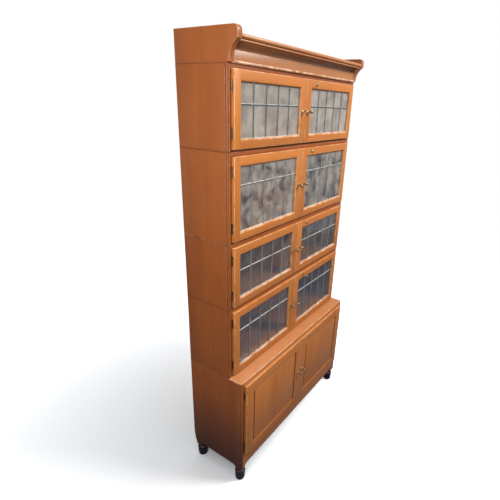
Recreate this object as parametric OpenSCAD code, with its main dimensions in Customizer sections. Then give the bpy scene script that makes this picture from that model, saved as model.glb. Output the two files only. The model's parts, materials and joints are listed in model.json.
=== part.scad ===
// Sectional stacking bookcase: a cupboard base on turned feet, four glazed
// sections with leaded doors, and a moulded cornice. Millimetres, +Z up.
// The origin is on the floor at the middle of the whole object's outline.
// Doors open towards -Y. X runs from the left door to the right door.

/* [Case] */
// Width over the outer faces of the side panels
case_w = 890; // [700:10:1100]
// Depth of a glazed section, front edge to back edge
section_d = 212; // [190:2:300]
// How far the base stands forward of the glazed sections
base_step = 62; // [50:2:110]
// Thickness of every side panel
side_t = 16; // [14:1:20]
// Thickness of the board at the top of each glazed section
top_board_t = 12; // [10:1:14]
// Thickness of the board at the bottom of each glazed section
bottom_board_t = 14; // [12:1:16]
// Thickness of the back panels
back_t = 6; // [4:1:8]

/* [Heights] */
// Height of the top glazed section
section_1_h = 250; // [220:2:360]
// Height of the second glazed section
section_2_h = 306; // [220:2:360]
// Height of the third glazed section
section_3_h = 254; // [220:2:360]
// Height of the lowest glazed section
section_4_h = 302; // [220:2:360]
// Height of the base, floor to ledge
base_h = 534; // [480:2:640]
// Height of the cornice brackets
cornice_h = 94; // [90:1:110]

/* [Base] */
// Thickness of the ledge that the glazed sections stand on
ledge_t = 18; // [16:1:22]
// Height of the top of the front rail under the cupboard doors
rail_top = 148; // [140:1:170]
// Height of the underside of the front rail and of the side panels
rail_bottom = 86; // [80:1:100]
// Height of the feet
foot_h = 68; // [60:1:72]
// Radius of the feet at their widest
foot_r = 23; // [20:1:26]
// Width of a leg, along the front and along the side
leg_w = 28; // [26:1:34]

/* [Doors] */
// Thickness of the door frames
door_t = 20; // [18:1:22]
// How far the doors stand proud of the case
door_proud = 11; // [8:1:12]
// Gap between the two doors of a pair
meeting_gap = 1.5; // [1:0.5:3]
// Width of the hinge stile of a glazed door
stile_w = 34; // [30:1:40]
// Width of the meeting stile of a glazed door
meeting_stile_w = 40; // [34:1:46]
// Height of the top rail of a glazed door
top_rail_w = 33; // [30:1:40]
// Height of the bottom rail of a glazed door
bottom_rail_w = 31; // [28:1:40]
// Width of the hinge stile of a cupboard door
cupboard_stile_w = 50; // [44:1:60]
// Width of the meeting stile of a cupboard door
cupboard_meeting_w = 45; // [40:1:54]
// Height of the top rail of a cupboard door
cupboard_top_w = 48; // [42:1:56]
// Height of the bottom rail of a cupboard door
cupboard_bottom_w = 36; // [32:1:50]
// Width of the sunk margin round a cupboard door's raised panel
panel_margin_w = 7; // [5:1:14]

/* [Leaded glass] */
// Columns of panes in a door
pane_columns = 5; // [3:1:7]
// Height of the upper row of panes
upper_row_h = 64; // [50:1:80]
// Width of the face of a lead came
came_w = 5; // [4:0.5:8]
// Thickness of the glass
glass_t = 3; // [2:0.5:4]

/* [Fittings] */
// Radius of a ball knob
knob_r = 6.5; // [5:0.5:9]
// How far a ball knob stands out from its door
knob_out = 22; // [18:1:28]
// Distance from a knob's centre to the meeting edge of its door
knob_inset = 19; // [14:1:22]
// Distance from the lock's centre to the middle of the case
lock_x = 76; // [60:1:110]
// Distance from the lock's centre to the top of its door
lock_drop = 15; // [14:1:16]
// Height of a hinge
hinge_h = 36; // [30:1:45]
// Distance from the end of a door to the middle of the nearer hinge
hinge_inset = 48; // [40:1:60]

/* [Hidden] */
DOOR_SIDES = ["left", "right"];
SECTIONS = [1, 2, 3, 4];

$fn = 48;
cut = 1;               // how far a cutting tool runs past the face that it cuts
fit_gap = 0.1;         // clearance round a piece set in a slot or a hole
edge_r = 2.5;          // rounding of the outer edges of a door

wood = "peru";
light_wood = "sandybrown";
brass = "goldenrod";
lead = "silver";

// Depth: the knobs of the cupboard doors are the foremost point.
case_d = section_d + base_step;
total_d = case_d + door_proud + knob_out;
back_y = total_d / 2;
front_y = back_y - section_d;
base_front_y = back_y - case_d;
half_w = case_w / 2;
inner_w = case_w - 2 * side_t;

section_h = [section_1_h, section_2_h, section_3_h, section_4_h];
function section_z(s) = s == 4 ? base_h : section_z(s + 1) + section_h[s];
cornice_z = section_z(1) + section_1_h;

// A back panel sits in a rebate along the back edge of the sides.
rebate_w = 7;

// Side panels have a scratch bead along the front corner.
bead_r = 3.5;
quirk = 1.2;

// Door openings. The base is numbered 0, like a section below the four.
door_top_gap = 1.2;
door_bottom_gap = 8;
hinge_gap = 4.5;       // between a side panel and the edge of its door, for the knuckles
function case_front(s) = s == 0 ? base_front_y : front_y;
function door_bottom(s) = s == 0 ? rail_top + 2 : section_z(s) + door_bottom_gap;
function door_top(s) = s == 0 ? base_h - ledge_t - door_top_gap
                              : section_z(s) + section_h[s - 1] - top_board_t - door_top_gap;
function door_front(s) = case_front(s) - door_proud;
door_x0 = -half_w + side_t + hinge_gap;
door_x1 = -meeting_gap / 2;

// Widths of the four bars of a door: hinge stile, meeting stile, top, bottom
glazed_bars = [stile_w, meeting_stile_w, top_rail_w, bottom_rail_w];
cupboard_bars = [cupboard_stile_w, cupboard_meeting_w, cupboard_top_w, cupboard_bottom_w];
function bars(s) = s == 0 ? cupboard_bars : glazed_bars;
// Sight opening of the left door of a pair
function sight_x0(s) = door_x0 + bars(s)[0];
function sight_x1(s) = door_x1 - bars(s)[1];
function sight_z0(s) = door_bottom(s) + bars(s)[3];
function sight_z1(s) = door_top(s) - bars(s)[2];

groove = 6;            // depth of the groove that holds the glass or the panel
lip_t = 7;             // frame in front of the glass or the panel
panel_t = 6;
field_back = 1.5;      // how far a raised panel stands back from the front of its door
bite = 5;              // how far glass and panel reach into the groove
came_flange = 1.2;
came_heart = 1.6;

// Hinges: the pin stands in the gap beside the door, just forward of the case.
pin_x = -half_w + side_t + hinge_gap / 2;
pin_forward = 3;
pin_r = 1;
knuckle_r = 2.1;
knuckle_bore_r = pin_r + 0.05;
leaf_t = 1.2;
leaf_clear = 2.4;      // a leaf starts this far behind the pin beside the other leaf's knuckle
case_leaf_w = 20;
door_leaf_w = 11;

// Locks: the plug turns in the escutcheon, and its cam swings up behind a keeper.
plug_r = 5;
plug_bore_r = plug_r + 0.05;
escutcheon_r = 7.5;
escutcheon_t = 3;
cam_l = 14;
cam_w = 7;
cam_t = 2;
keeper_w = 18;
keeper_h = 10;         // how far a keeper hangs below the board above the door
keeper_t = 1.2;
keeper_gap = 0.6;      // between a keeper and the door in front of it, and the cam behind it
cam_y = door_t + 2 * keeper_gap + keeper_t;
key_sections = [1, 4]; // the locks that hold a key

// Pegs that locate each unit on the one below it
peg_r = 4;
peg_l = 20;
peg_inset = 45;
peg_back = 60;

module pair() {
    children();
    mirror([1, 0, 0]) children();
}

module place(d) {
    if (d == "right") mirror([1, 0, 0]) children();
    else children();
}

module box(x0, x1, y0, y1, z0, z1) {
    translate([x0, y0, z0]) cube([x1 - x0, y1 - y0, z1 - z0]);
}

// ---- Carcase ----

// Plan of the left side panel, with its outer front corner at the origin
module side_plan(depth) {
    corner = 2 * bead_r + quirk;
    difference() {
        square([side_t, depth]);
        difference() {
            translate([-cut, -cut]) square([corner + cut, corner + cut]);
            translate([bead_r, bead_r]) circle(r = bead_r);
            translate([bead_r, bead_r]) square([corner, corner]);
        }
        translate([side_t - rebate_w, depth - back_t]) square([rebate_w + cut, back_t + cut]);
    }
}

module section_sides(s) {
    color(wood) pair()
        translate([-half_w, front_y, section_z(s)])
            linear_extrude(section_h[s - 1]) side_plan(section_d);
}

module peg_holes(z) {
    for (sx = [-1, 1])
        translate([sx * (half_w - peg_inset), back_y - peg_back, z - peg_l / 2])
            cylinder(r = peg_r + fit_gap / 2, h = peg_l);
}

module section_top_boards() {
    color(wood) for (s = SECTIONS) {
        z1 = section_z(s) + section_h[s - 1];
        difference() {
            box(-inner_w / 2, inner_w / 2, front_y, back_y - back_t, z1 - top_board_t, z1 - fit_gap);
            peg_holes(z1);
        }
    }
}

module section_bottom_boards() {
    y0 = front_y - door_proud + door_t + 2;
    color(wood) for (s = SECTIONS) difference() {
        box(-inner_w / 2, inner_w / 2, y0, back_y - back_t,
            section_z(s), section_z(s) + bottom_board_t);
        peg_holes(section_z(s));
    }
}

module back_panels() {
    w = inner_w / 2 + rebate_w - fit_gap;
    color(wood) {
        for (s = SECTIONS)
            box(-w, w, back_y - back_t + fit_gap, back_y,
                section_z(s) + fit_gap, section_z(s) + section_h[s - 1] - fit_gap);
        box(-w, w, back_y - back_t + fit_gap, back_y, rail_bottom, base_h - fit_gap);
    }
}

module section_pegs() {
    color("tan") for (s = SECTIONS, sx = [-1, 1])
        translate([sx * (half_w - peg_inset), back_y - peg_back,
                   section_z(s) - peg_l / 2 + fit_gap])
            cylinder(r = peg_r, h = peg_l - 2 * fit_gap);
}

// ---- Cornice ----

bracket_w = 21;
nose_y = 39;           // how far the brackets stand forward of the glazed sections
nose_r = 15;
nose_z = 60;           // underside of the bracket's nose
bracket_foot = 7;      // how far the foot of a bracket stands forward
cove_r = 67;
frieze_y = 6;
frieze_h = 35;
cap_z = 74;

// Outline of a bracket in Y and Z, front edge of the section at the origin
module bracket_outline() {
    difference() {
        union() {
            translate([-nose_y, 0]) square([nose_y + section_d, cornice_h - nose_r]);
            translate([nose_r - nose_y, 0]) square([nose_y - nose_r + section_d, cornice_h]);
            translate([nose_r - nose_y, cornice_h - nose_r]) circle(r = nose_r);
        }
        translate([-cove_r - bracket_foot, 4]) circle(r = cove_r, $fn = 96);
        translate([-nose_y - cut, -cut]) square([nose_y - bracket_foot + cut, cut + 4]);
        translate([-bracket_foot - cut, -cut]) square([bracket_foot + cut, cut + 2]);
    }
}

// Stands an outline drawn in Y and Z upright, w wide along X from x
module along_x(x, w) {
    translate([x, front_y, cornice_z]) rotate([90, 0, 90]) linear_extrude(w) children();
}

module cornice_brackets() {
    color(wood) pair() along_x(-half_w, bracket_w) bracket_outline();
}

module cornice_outline() {
    difference() {
        translate([-34, frieze_h]) square([46, 58 - frieze_h]);
        translate([-22.5, frieze_h]) circle(r = 20);
        translate([-34 - cut, frieze_h - cut]) square([11.5 + cut, 20 + cut]);
    }
    translate([-33.5, 57]) circle(r = 2.3);
    translate([-30, 57]) square([42, 6]);
    translate([-32, 62]) square([44, cap_z - 62]);
    translate([-32, 68]) circle(r = 6);
}

module cornice_moulding() {
    x = half_w - bracket_w - fit_gap;
    color(light_wood) along_x(-x, 2 * x) cornice_outline();
}

module cornice_boards() {
    x = half_w - bracket_w - fit_gap;
    color(light_wood) {
        along_x(-x, 2 * x) {
            translate([-frieze_y, 0]) square([16, frieze_h - fit_gap]);
            translate([-frieze_y, 4]) circle(r = 4);
        }
        // dust board and back rail
        box(-x, x, front_y + 12 + fit_gap, back_y - back_t - fit_gap,
            cornice_z + cap_z - 12, cornice_z + cap_z);
        box(-x, x, back_y - back_t, back_y, cornice_z, cornice_z + cap_z);
    }
}

// ---- Base ----

leg_curve = rail_bottom - foot_h;
heel_in = 14;          // how far the back edge of the side curves in at the back leg
heel_h = 84;

// Outline of a base side in Y and Z, front edge at Y = 0
module base_side_outline() {
    curve = [for (i = [0:8]) [case_d - heel_in * pow(1 - i / 8, 2), foot_h + heel_h * i / 8]];
    difference() {
        polygon(concat([[0, foot_h]], curve, [[case_d, base_h], [0, base_h]]));
        leg_gap(leg_w, case_d - leg_w - heel_in);
    }
}

// Space between two legs, with a concave curve of leg_curve at each end
module leg_gap(a, b) {
    translate([a + leg_curve, foot_h - cut])
        square([b - a - 2 * leg_curve, leg_curve + cut]);
    for (c = [a + leg_curve, b - leg_curve]) translate([c, foot_h]) circle(r = leg_curve);
}

module base_sides() {
    color(wood) pair() intersection() {
        translate([-half_w, base_front_y, 0]) linear_extrude(base_h) side_plan(case_d);
        translate([-half_w - cut, base_front_y, 0]) rotate([90, 0, 90])
            linear_extrude(side_t + 2 * cut) base_side_outline();
    }
}

module base_ledge() {
    color(light_wood) difference() {
        box(-inner_w / 2, inner_w / 2, base_front_y, back_y - back_t, base_h - ledge_t, base_h);
        peg_holes(base_h);
    }
}

module base_deck() {
    color(wood) box(-inner_w / 2, inner_w / 2, base_front_y + 20, back_y - back_t,
                    rail_top - 14, rail_top);
}

module base_front_rail() {
    x = inner_w / 2;
    leg = leg_w - side_t;
    color(wood) translate([0, base_front_y + 18, 0]) rotate([90, 0, 0]) linear_extrude(18)
        difference() {
            translate([-x, foot_h]) square([2 * x, rail_top - foot_h]);
            leg_gap(leg - x, x - leg);
        }
}

module foot() {
    rim = 8;
    toe = 6;
    shoulder = foot_h - 14 - rim;
    rotate_extrude() {
        square([14, toe]);
        intersection() {
            translate([14, toe]) circle(r = toe);
            square([foot_r, toe]);
        }
        polygon([[0, toe], [14 + toe, toe], [foot_r, shoulder], [0, shoulder]]);
        translate([foot_r - rim, shoulder]) circle(r = rim);
        square([foot_r - rim, shoulder + rim]);
        square([14, foot_h]);
    }
}

module feet() {
    color("saddlebrown") for (sx = [-1, 1], y = [base_front_y + foot_r, back_y - foot_r - 4])
        translate([sx * (half_w - foot_r), y, 0]) foot();
}

// ---- Doors ----

module door_groove(s, t) {
    y0 = door_front(s) + lip_t;
    box(sight_x0(s) - groove, sight_x1(s) + groove, y0, y0 + t + 2 * fit_gap,
        sight_z0(s) - groove, sight_z1(s) + groove);
}

// Stile in plan: outer front edge rounded at one side
module stile_plan(w) {
    translate([edge_r, 0]) square([w - edge_r, door_t]);
    translate([0, edge_r]) square([w, door_t - edge_r]);
    translate([edge_r, edge_r]) circle(r = edge_r);
}

module door_frame(s, d, infill_t) {
    y0 = door_front(s);
    x0 = sight_x0(s) + fit_gap;
    x1 = sight_x1(s) - fit_gap;
    color(light_wood) place(d) {
        difference() {
            union() {
                translate([door_x0, y0, door_bottom(s)])
                    linear_extrude(door_top(s) - door_bottom(s)) stile_plan(bars(s)[0]);
                box(sight_x1(s), door_x1, y0, y0 + door_t, door_bottom(s), door_top(s));
                box(x0, x1, y0, y0 + door_t, sight_z1(s), door_top(s));
                box(x0, x1, y0, y0 + door_t, door_bottom(s), sight_z0(s));
            }
            door_groove(s, infill_t);
            if (d == "right")
                translate([-lock_x, y0 - cut, door_top(s) - lock_drop])
                    rotate([-90, 0, 0]) cylinder(r = plug_bore_r, h = door_t + 2 * cut);
        }
    }
}

// The panes of one door, each grown all round by g
module panes(s, g) {
    x0 = sight_x0(s);
    pitch = (sight_x1(s) - x0) / pane_columns;
    row_z = [sight_z0(s) - bite, sight_z1(s) - upper_row_h, sight_z1(s) + bite];
    half_heart = came_heart / 2;
    y0 = door_front(s) + lip_t + fit_gap;
    for (c = [0:pane_columns - 1], r = [0, 1])
        box(x0 + c * pitch + (c == 0 ? -bite : half_heart) - g,
            x0 + (c + 1) * pitch + (c == pane_columns - 1 ? bite : -half_heart) + g,
            y0 - g, y0 + glass_t + g,
            row_z[r] + (r == 0 ? 0 : half_heart) - g,
            row_z[r + 1] - (r == 0 ? half_heart : 0) + g);
}

module door_glass(s, d) {
    color("lightsteelblue", 0.4) place(d) panes(s, 0);
}

module door_cames(s, d) {
    x0 = sight_x0(s) + fit_gap;
    x1 = sight_x1(s) - fit_gap;
    z0 = sight_z0(s) + fit_gap;
    z1 = sight_z1(s) - fit_gap;
    pitch = (sight_x1(s) - sight_x0(s)) / pane_columns;
    y0 = door_front(s) + lip_t + fit_gap - came_flange;
    y1 = y0 + glass_t + 2 * came_flange;
    row_z = sight_z1(s) - upper_row_h;
    color(lead) place(d) difference() {
        union() {
            for (c = [1:pane_columns - 1]) {
                x = sight_x0(s) + c * pitch;
                box(x - came_w / 2, x + came_w / 2, y0, y1, z0, z1);
            }
            box(x0, x1, y0, y1, row_z - came_w / 2, row_z + came_w / 2);
        }
        panes(s, fit_gap / 2);
    }
}

// A panel in the groove of a cupboard door, with a raised field inside a sunk margin
module door_panel(d) {
    y0 = door_front(0) + lip_t + fit_gap;
    m = panel_margin_w;
    color(wood) place(d) {
        box(sight_x0(0) - bite, sight_x1(0) + bite, y0, y0 + panel_t,
            sight_z0(0) - bite, sight_z1(0) + bite);
        box(sight_x0(0) + m, sight_x1(0) - m, door_front(0) + field_back, y0 + panel_t / 2,
            sight_z0(0) + m, sight_z1(0) - m);
    }
}

// ---- Fittings ----

module knob(s) {
    rosette_r = 6;
    rosette_t = 1.5;
    stem_r = 2.5;
    translate([door_x1 - knob_inset, door_front(s), (door_bottom(s) + door_top(s)) / 2])
        rotate([90, 0, 0]) {
            cylinder(r = rosette_r, h = rosette_t);
            cylinder(r = stem_r, h = knob_out - knob_r);
            translate([0, 0, knob_out - knob_r]) sphere(r = knob_r);
        }
}

module escutcheon(s) {
    translate([-lock_x, door_front(s), door_top(s) - lock_drop]) rotate([90, 0, 0])
        difference() {
            cylinder(r = escutcheon_r, h = escutcheon_t);
            translate([0, 0, -cut]) cylinder(r = plug_bore_r, h = escutcheon_t + 2 * cut);
        }
}

function hinge_zs(s) = [door_bottom(s) + hinge_inset, door_top(s) - hinge_inset];

// Moves to a hinge's lower end, with the pin's axis at the origin
module at_hinges(s) {
    for (z = hinge_zs(s))
        translate([pin_x, case_front(s) - pin_forward, z - hinge_h / 2]) children();
}

// The door's leaf carries the middle knuckle and the case's leaf the outer two.
knuckle_h = hinge_h / 3;
knuckle_gap = 0.3;

module door_leaf() {
    x0 = hinge_gap / 2 - leaf_t;
    difference() {
        union() {
            box(x0, hinge_gap / 2, leaf_clear, door_leaf_w, 0, hinge_h);
            box(x0, hinge_gap / 2, 0, leaf_clear + cut,
                knuckle_h + knuckle_gap, 2 * knuckle_h - knuckle_gap);
            translate([0, 0, knuckle_h + knuckle_gap])
                cylinder(r = knuckle_r, h = knuckle_h - 2 * knuckle_gap);
        }
        translate([0, 0, -cut]) cylinder(r = knuckle_bore_r, h = hinge_h + 2 * cut);
    }
}

module case_leaf() {
    x1 = leaf_t - hinge_gap / 2;
    box(-hinge_gap / 2, x1, leaf_clear, case_leaf_w, 0, hinge_h);
    for (z = [0, 2 * knuckle_h]) translate([0, 0, z]) {
        cylinder(r = knuckle_r, h = knuckle_h);
        box(-hinge_gap / 2, x1, 0, leaf_clear + cut, 0, knuckle_h);
    }
    cylinder(r = pin_r, h = hinge_h);
}

module door_fittings(s, d) {
    color(brass) place(d) {
        knob(s);
        at_hinges(s) door_leaf();
        if (d == "right") escutcheon(s);
    }
}

// Angle plate under the board above a door: the lock's cam turns up behind it
module keeper(s) {
    y0 = door_front(s) + door_t + keeper_gap;
    z1 = door_top(s) + door_top_gap;
    x0 = lock_x - keeper_w / 2;
    box(x0, x0 + keeper_w, y0, y0 + keeper_t, z1 - keeper_h, z1);
    box(x0, x0 + keeper_w, y0, y0 + 12, z1 - keeper_t, z1);
}

module case_fittings() {
    color(brass) {
        pair() for (s = [0:4]) at_hinges(s) case_leaf();
        for (s = [0:4]) keeper(s);
    }
}

// Plug with its cam, unlocked: the cam lies level, towards the middle of the case
module lock(s) {
    key_out = 14;
    bow_r = 6;
    color(brass) translate([lock_x, door_front(s), door_top(s) - lock_drop]) {
        rotate([90, 0, 0]) translate([0, 0, -cam_y - cam_t])
            cylinder(r = plug_r, h = cam_y + cam_t + escutcheon_t + 1);
        box(-cam_l, 0, cam_y, cam_y + cam_t, -cam_w / 2, cam_w / 2);
        if (len(search(s, key_sections)) > 0) {
            rotate([90, 0, 0]) cylinder(r = 1.6, h = key_out);
            translate([0, -key_out - 3, -0.9]) cylinder(r = bow_r, h = 1.8);
        }
    }
}

cornice_brackets();
cornice_moulding();
cornice_boards();
for (s = SECTIONS)
    section_sides(s);
section_top_boards();
section_bottom_boards();
back_panels();
section_pegs();
case_fittings();
base_sides();
base_ledge();
base_deck();
base_front_rail();
feet();
for (s = SECTIONS, d = DOOR_SIDES) {
    door_frame(s, d, glass_t);
    door_glass(s, d);
    door_cames(s, d);
    door_fittings(s, d);
}
for (d = DOOR_SIDES) {
    door_frame(0, d, panel_t);
    door_panel(d);
    door_fittings(0, d);
}
for (s = SECTIONS)
    lock(s);
lock(0);  // base_lock
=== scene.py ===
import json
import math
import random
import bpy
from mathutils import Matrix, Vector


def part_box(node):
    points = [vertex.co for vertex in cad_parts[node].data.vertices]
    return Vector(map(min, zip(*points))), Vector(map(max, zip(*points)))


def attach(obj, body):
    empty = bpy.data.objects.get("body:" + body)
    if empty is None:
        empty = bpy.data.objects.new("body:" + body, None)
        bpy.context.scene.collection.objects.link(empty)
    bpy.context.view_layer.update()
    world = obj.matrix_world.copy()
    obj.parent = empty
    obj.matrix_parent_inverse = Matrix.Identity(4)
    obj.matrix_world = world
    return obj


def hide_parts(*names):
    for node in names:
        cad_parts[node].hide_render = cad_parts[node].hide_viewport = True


bl_info = {
    "name": "Sectional Bookcase",
    "version": (1, 0, 0),
    "blender": (4, 5, 0),
    "location": "View3D > Sidebar > Bookcase",
    "description": "Builds the finish of a sectional bookcase with leaded doors round its packed frame",
    "category": "Add Mesh",
}

import bmesh
import bpy
from bpy.props import FloatProperty, FloatVectorProperty, IntProperty, PointerProperty
from mathutils import Matrix, Vector

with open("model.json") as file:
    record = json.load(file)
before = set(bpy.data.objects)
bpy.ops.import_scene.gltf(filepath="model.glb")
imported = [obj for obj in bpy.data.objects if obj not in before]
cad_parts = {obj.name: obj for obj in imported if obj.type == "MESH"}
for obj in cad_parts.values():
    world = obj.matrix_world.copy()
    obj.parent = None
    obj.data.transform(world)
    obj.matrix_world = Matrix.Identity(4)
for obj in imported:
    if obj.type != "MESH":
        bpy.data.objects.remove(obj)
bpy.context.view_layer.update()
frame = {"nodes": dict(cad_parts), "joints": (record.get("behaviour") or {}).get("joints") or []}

MM = 0.001
SECTIONS = (1, 2, 3, 4)
DOOR_SIDES = ("left", "right")
DOORS = [(f"section_{s}", side) for s in SECTIONS for side in DOOR_SIDES]
DOORS += [("base", side) for side in DOOR_SIDES]
JOINTS = {joint["name"]: joint for joint in frame["joints"]}
X_AXIS, Y_AXIS, Z_AXIS = Vector((1, 0, 0)), Vector((0, 1, 0)), Vector((0, 0, 1))


# ---- Sizes and colours that a user may change ----


def number(name, description, default, low=0.0, **settings):
    """A number property with a least value."""
    return FloatProperty(name=name, description=description, default=default, min=low, **settings)


def length(name, description, default, low=0.0, high=1.0):
    """A length property, in metres."""
    return number(name, description, default, low, max=high, unit="LENGTH", subtype="DISTANCE")


def share(name, description, default):
    """A property from 0 to 1."""
    return number(name, description, default, max=1.0, subtype="FACTOR")


def power(name, description, default):
    """The power of a light."""
    return number(name, description, default, unit="POWER")


def spot(name, description, default):
    """A point in space."""
    return FloatVectorProperty(
        name=name, description=description, default=default, unit="LENGTH", subtype="TRANSLATION"
    )


def colour(name, description, default):
    """A linear colour property."""
    return FloatVectorProperty(
        name=name, description=description, default=default, min=0.0, max=1.0, subtype="COLOR"
    )


def angle(name, description, default):
    """An angle property, with its default in degrees."""
    return FloatProperty(
        name=name, description=description, default=math.radians(default), unit="ROTATION", subtype="ANGLE"
    )


class BookcaseWood(bpy.types.PropertyGroup):
    case_light: colour("Case light", "Light grain of the carcase", (0.33, 0.093, 0.020))
    case_dark: colour("Case dark", "Dark grain of the carcase", (0.245, 0.062, 0.012))
    front_light: colour("Front light", "Light grain of the cornice and the ledge", (0.46, 0.188, 0.068))
    front_dark: colour("Front dark", "Dark grain of the cornice and the ledge", (0.37, 0.135, 0.046))
    door_light: colour("Door light", "Light grain of the doors", (0.52, 0.176, 0.034))
    door_dark: colour("Door dark", "Dark grain of the doors", (0.40, 0.121, 0.020))
    back_light: colour("Back light", "Light grain of the back panels", (0.46, 0.215, 0.105))
    back_dark: colour("Back dark", "Dark grain of the back panels", (0.31, 0.125, 0.058))
    foot_light: colour("Foot light", "Light tone of the dark lacquer on the feet", (0.050, 0.026, 0.030))
    foot_dark: colour("Foot dark", "Dark tone of the dark lacquer on the feet", (0.016, 0.010, 0.014))
    # pale wood on rubbed edges, which is also a painted highlight along them
    worn: colour("Worn edge", "Bare wood that shows along rubbed edges", (0.86, 0.60, 0.40))
    figure_scale: number("Figure", "Figure bands per metre across the grain", 24.0, 1.0, max=200.0)
    fibre_scale: number("Fibres", "Fibres per metre across the grain", 420.0, 50.0, max=2000.0)
    stretch: share("Stretch", "Size of the grain across the wood, as a share of its size along it", 0.035)
    ease: length("Eased edge", "Radius of the eased edges of boards", 0.9 * MM, 0.0002, 0.003)


class BookcaseGlazing(bpy.types.PropertyGroup):
    columns: IntProperty(name="Columns", description="Columns of panes in a door", default=5, min=2, max=9)
    upper_row: length("Upper row", "Height of the upper row of panes", 64 * MM, 0.03, 0.12)
    came_width: length("Came width", "Width of the face of a lead came", 5 * MM, 0.002, 0.01)
    flange: length("Flange", "Height of a came's domed face over the glass", 1.2 * MM, 0.0004, 0.003)
    heart: length("Heart", "Thickness of the lead between two panes", 1.6 * MM, 0.0005, 0.003)
    glass: length("Glass", "Thickness of the glass", 3 * MM, 0.001, 0.006)
    tilt: angle("Tilt", "Largest lean of a pane in its cames", 0.25)
    seed: IntProperty(name="Seed", description="Picks the lean of the panes and the solder", default=7, min=0)
    tint: colour("Tint", "Colour that the glass lets through", (0.93, 0.945, 0.965))
    sheen: colour("Sheen", "Colour of what the glass mirrors", (0.76, 0.87, 1.0))
    # the film is dust, and on the top section also a painted reflection of a bright room
    dust: colour("Dust", "Colour of the film of dust on the glass", (0.70, 0.61, 0.50))


class BookcaseMetal(bpy.types.PropertyGroup):
    brass_light: colour("Brass light", "Rubbed brass of the knobs and locks", (0.50, 0.38, 0.21))
    brass_dark: colour("Brass dark", "Tarnish on the knobs and locks", (0.15, 0.105, 0.06))
    hinge_light: colour("Hinge light", "Rubbed brass of the hinges", (0.42, 0.31, 0.17))
    hinge_dark: colour("Hinge dark", "Dark tarnish on the hinges", (0.12, 0.085, 0.055))
    # painted highlight on the lead's upward faces, which is also the colour of its grey bloom
    lead_highlight_and_bloom: colour("Lead light", "Lead that faces up, rubbed bright", (0.72, 0.71, 0.69))
    key_light: colour("Key brass", "Handled brass of the keys and plugs", (0.74, 0.66, 0.52))
    key_dark: colour("Key brass, dark", "Duller patches of the keys and plugs", (0.38, 0.32, 0.24))
    lead_black: colour("Black lead", "Blackened lead of the top section", (0.055, 0.055, 0.052))
    lead_dark: colour("Lead dark", "Dull lead on the other faces", (0.22, 0.19, 0.16))
    knob_ball: length("Knob ball", "Radius of the ball of a knob", 6.5 * MM, 0.004, 0.009)
    screw_head: length("Screw head", "Radius of a screw head", 2.3 * MM, 0.001, 0.004)


class BookcaseStage(bpy.types.PropertyGroup):
    floor: colour("Floor", "Colour of the floor", (0.95, 0.95, 0.95))
    floor_bounce: colour("Floor bounce", "Colour that the floor throws back", (0.10, 0.098, 0.095))
    floor_mirrored: colour("Floor mirrored", "Colour of the floor in polish and glass", (0.14, 0.17, 0.23))
    floor_radius: length("Floor radius", "Radius of the floor", 3.4, 1.5, 10.0)
    floor_glow: share("Floor glow", "How far the floor fades into the surround", 0.6)
    shadow_centre: spot("Shadow centre", "Where the floor's shadow is kept whole", (-0.45, 0.12, 0.0))
    shadow_reach: length("Shadow reach", "How far from its middle the shadow is lost", 1.3, 0.3, 3.0)
    surround: number("Surround", "Strength of the light from all round", 0.16)
    reflected: number("Reflected", "Strength of the surround in polish and glass", 0.42)
    room: colour("Room", "Colour of the light from all round", (0.80, 0.90, 1.0))
    key: power("Key", "Power of the soft key light", 76.0)
    overhead: power("Overhead", "Power of the large light overhead", 150.0)
    fill: power("Fill", "Power of the side light", 17.0)
    camera_place: spot("Camera place", "Where the camera stands", (-1.385, -0.869, 1.541))
    azimuth: angle("Azimuth", "Direction that the camera looks in, from +Y towards +X", 56.53)
    elevation: angle("Elevation", "How far the camera looks up", -22.55)
    roll: angle("Roll", "How far the camera leans", 2.38)
    lens: number("Lens", "Focal length on a 36 mm sensor", 27.8, 10.0, unit="CAMERA")
    shift: FloatVectorProperty(
        name="Shift", description="Shift of the lens, in sensor widths", size=2, default=(-0.048, 0.029)
    )


# ---- Node trees ----


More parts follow.
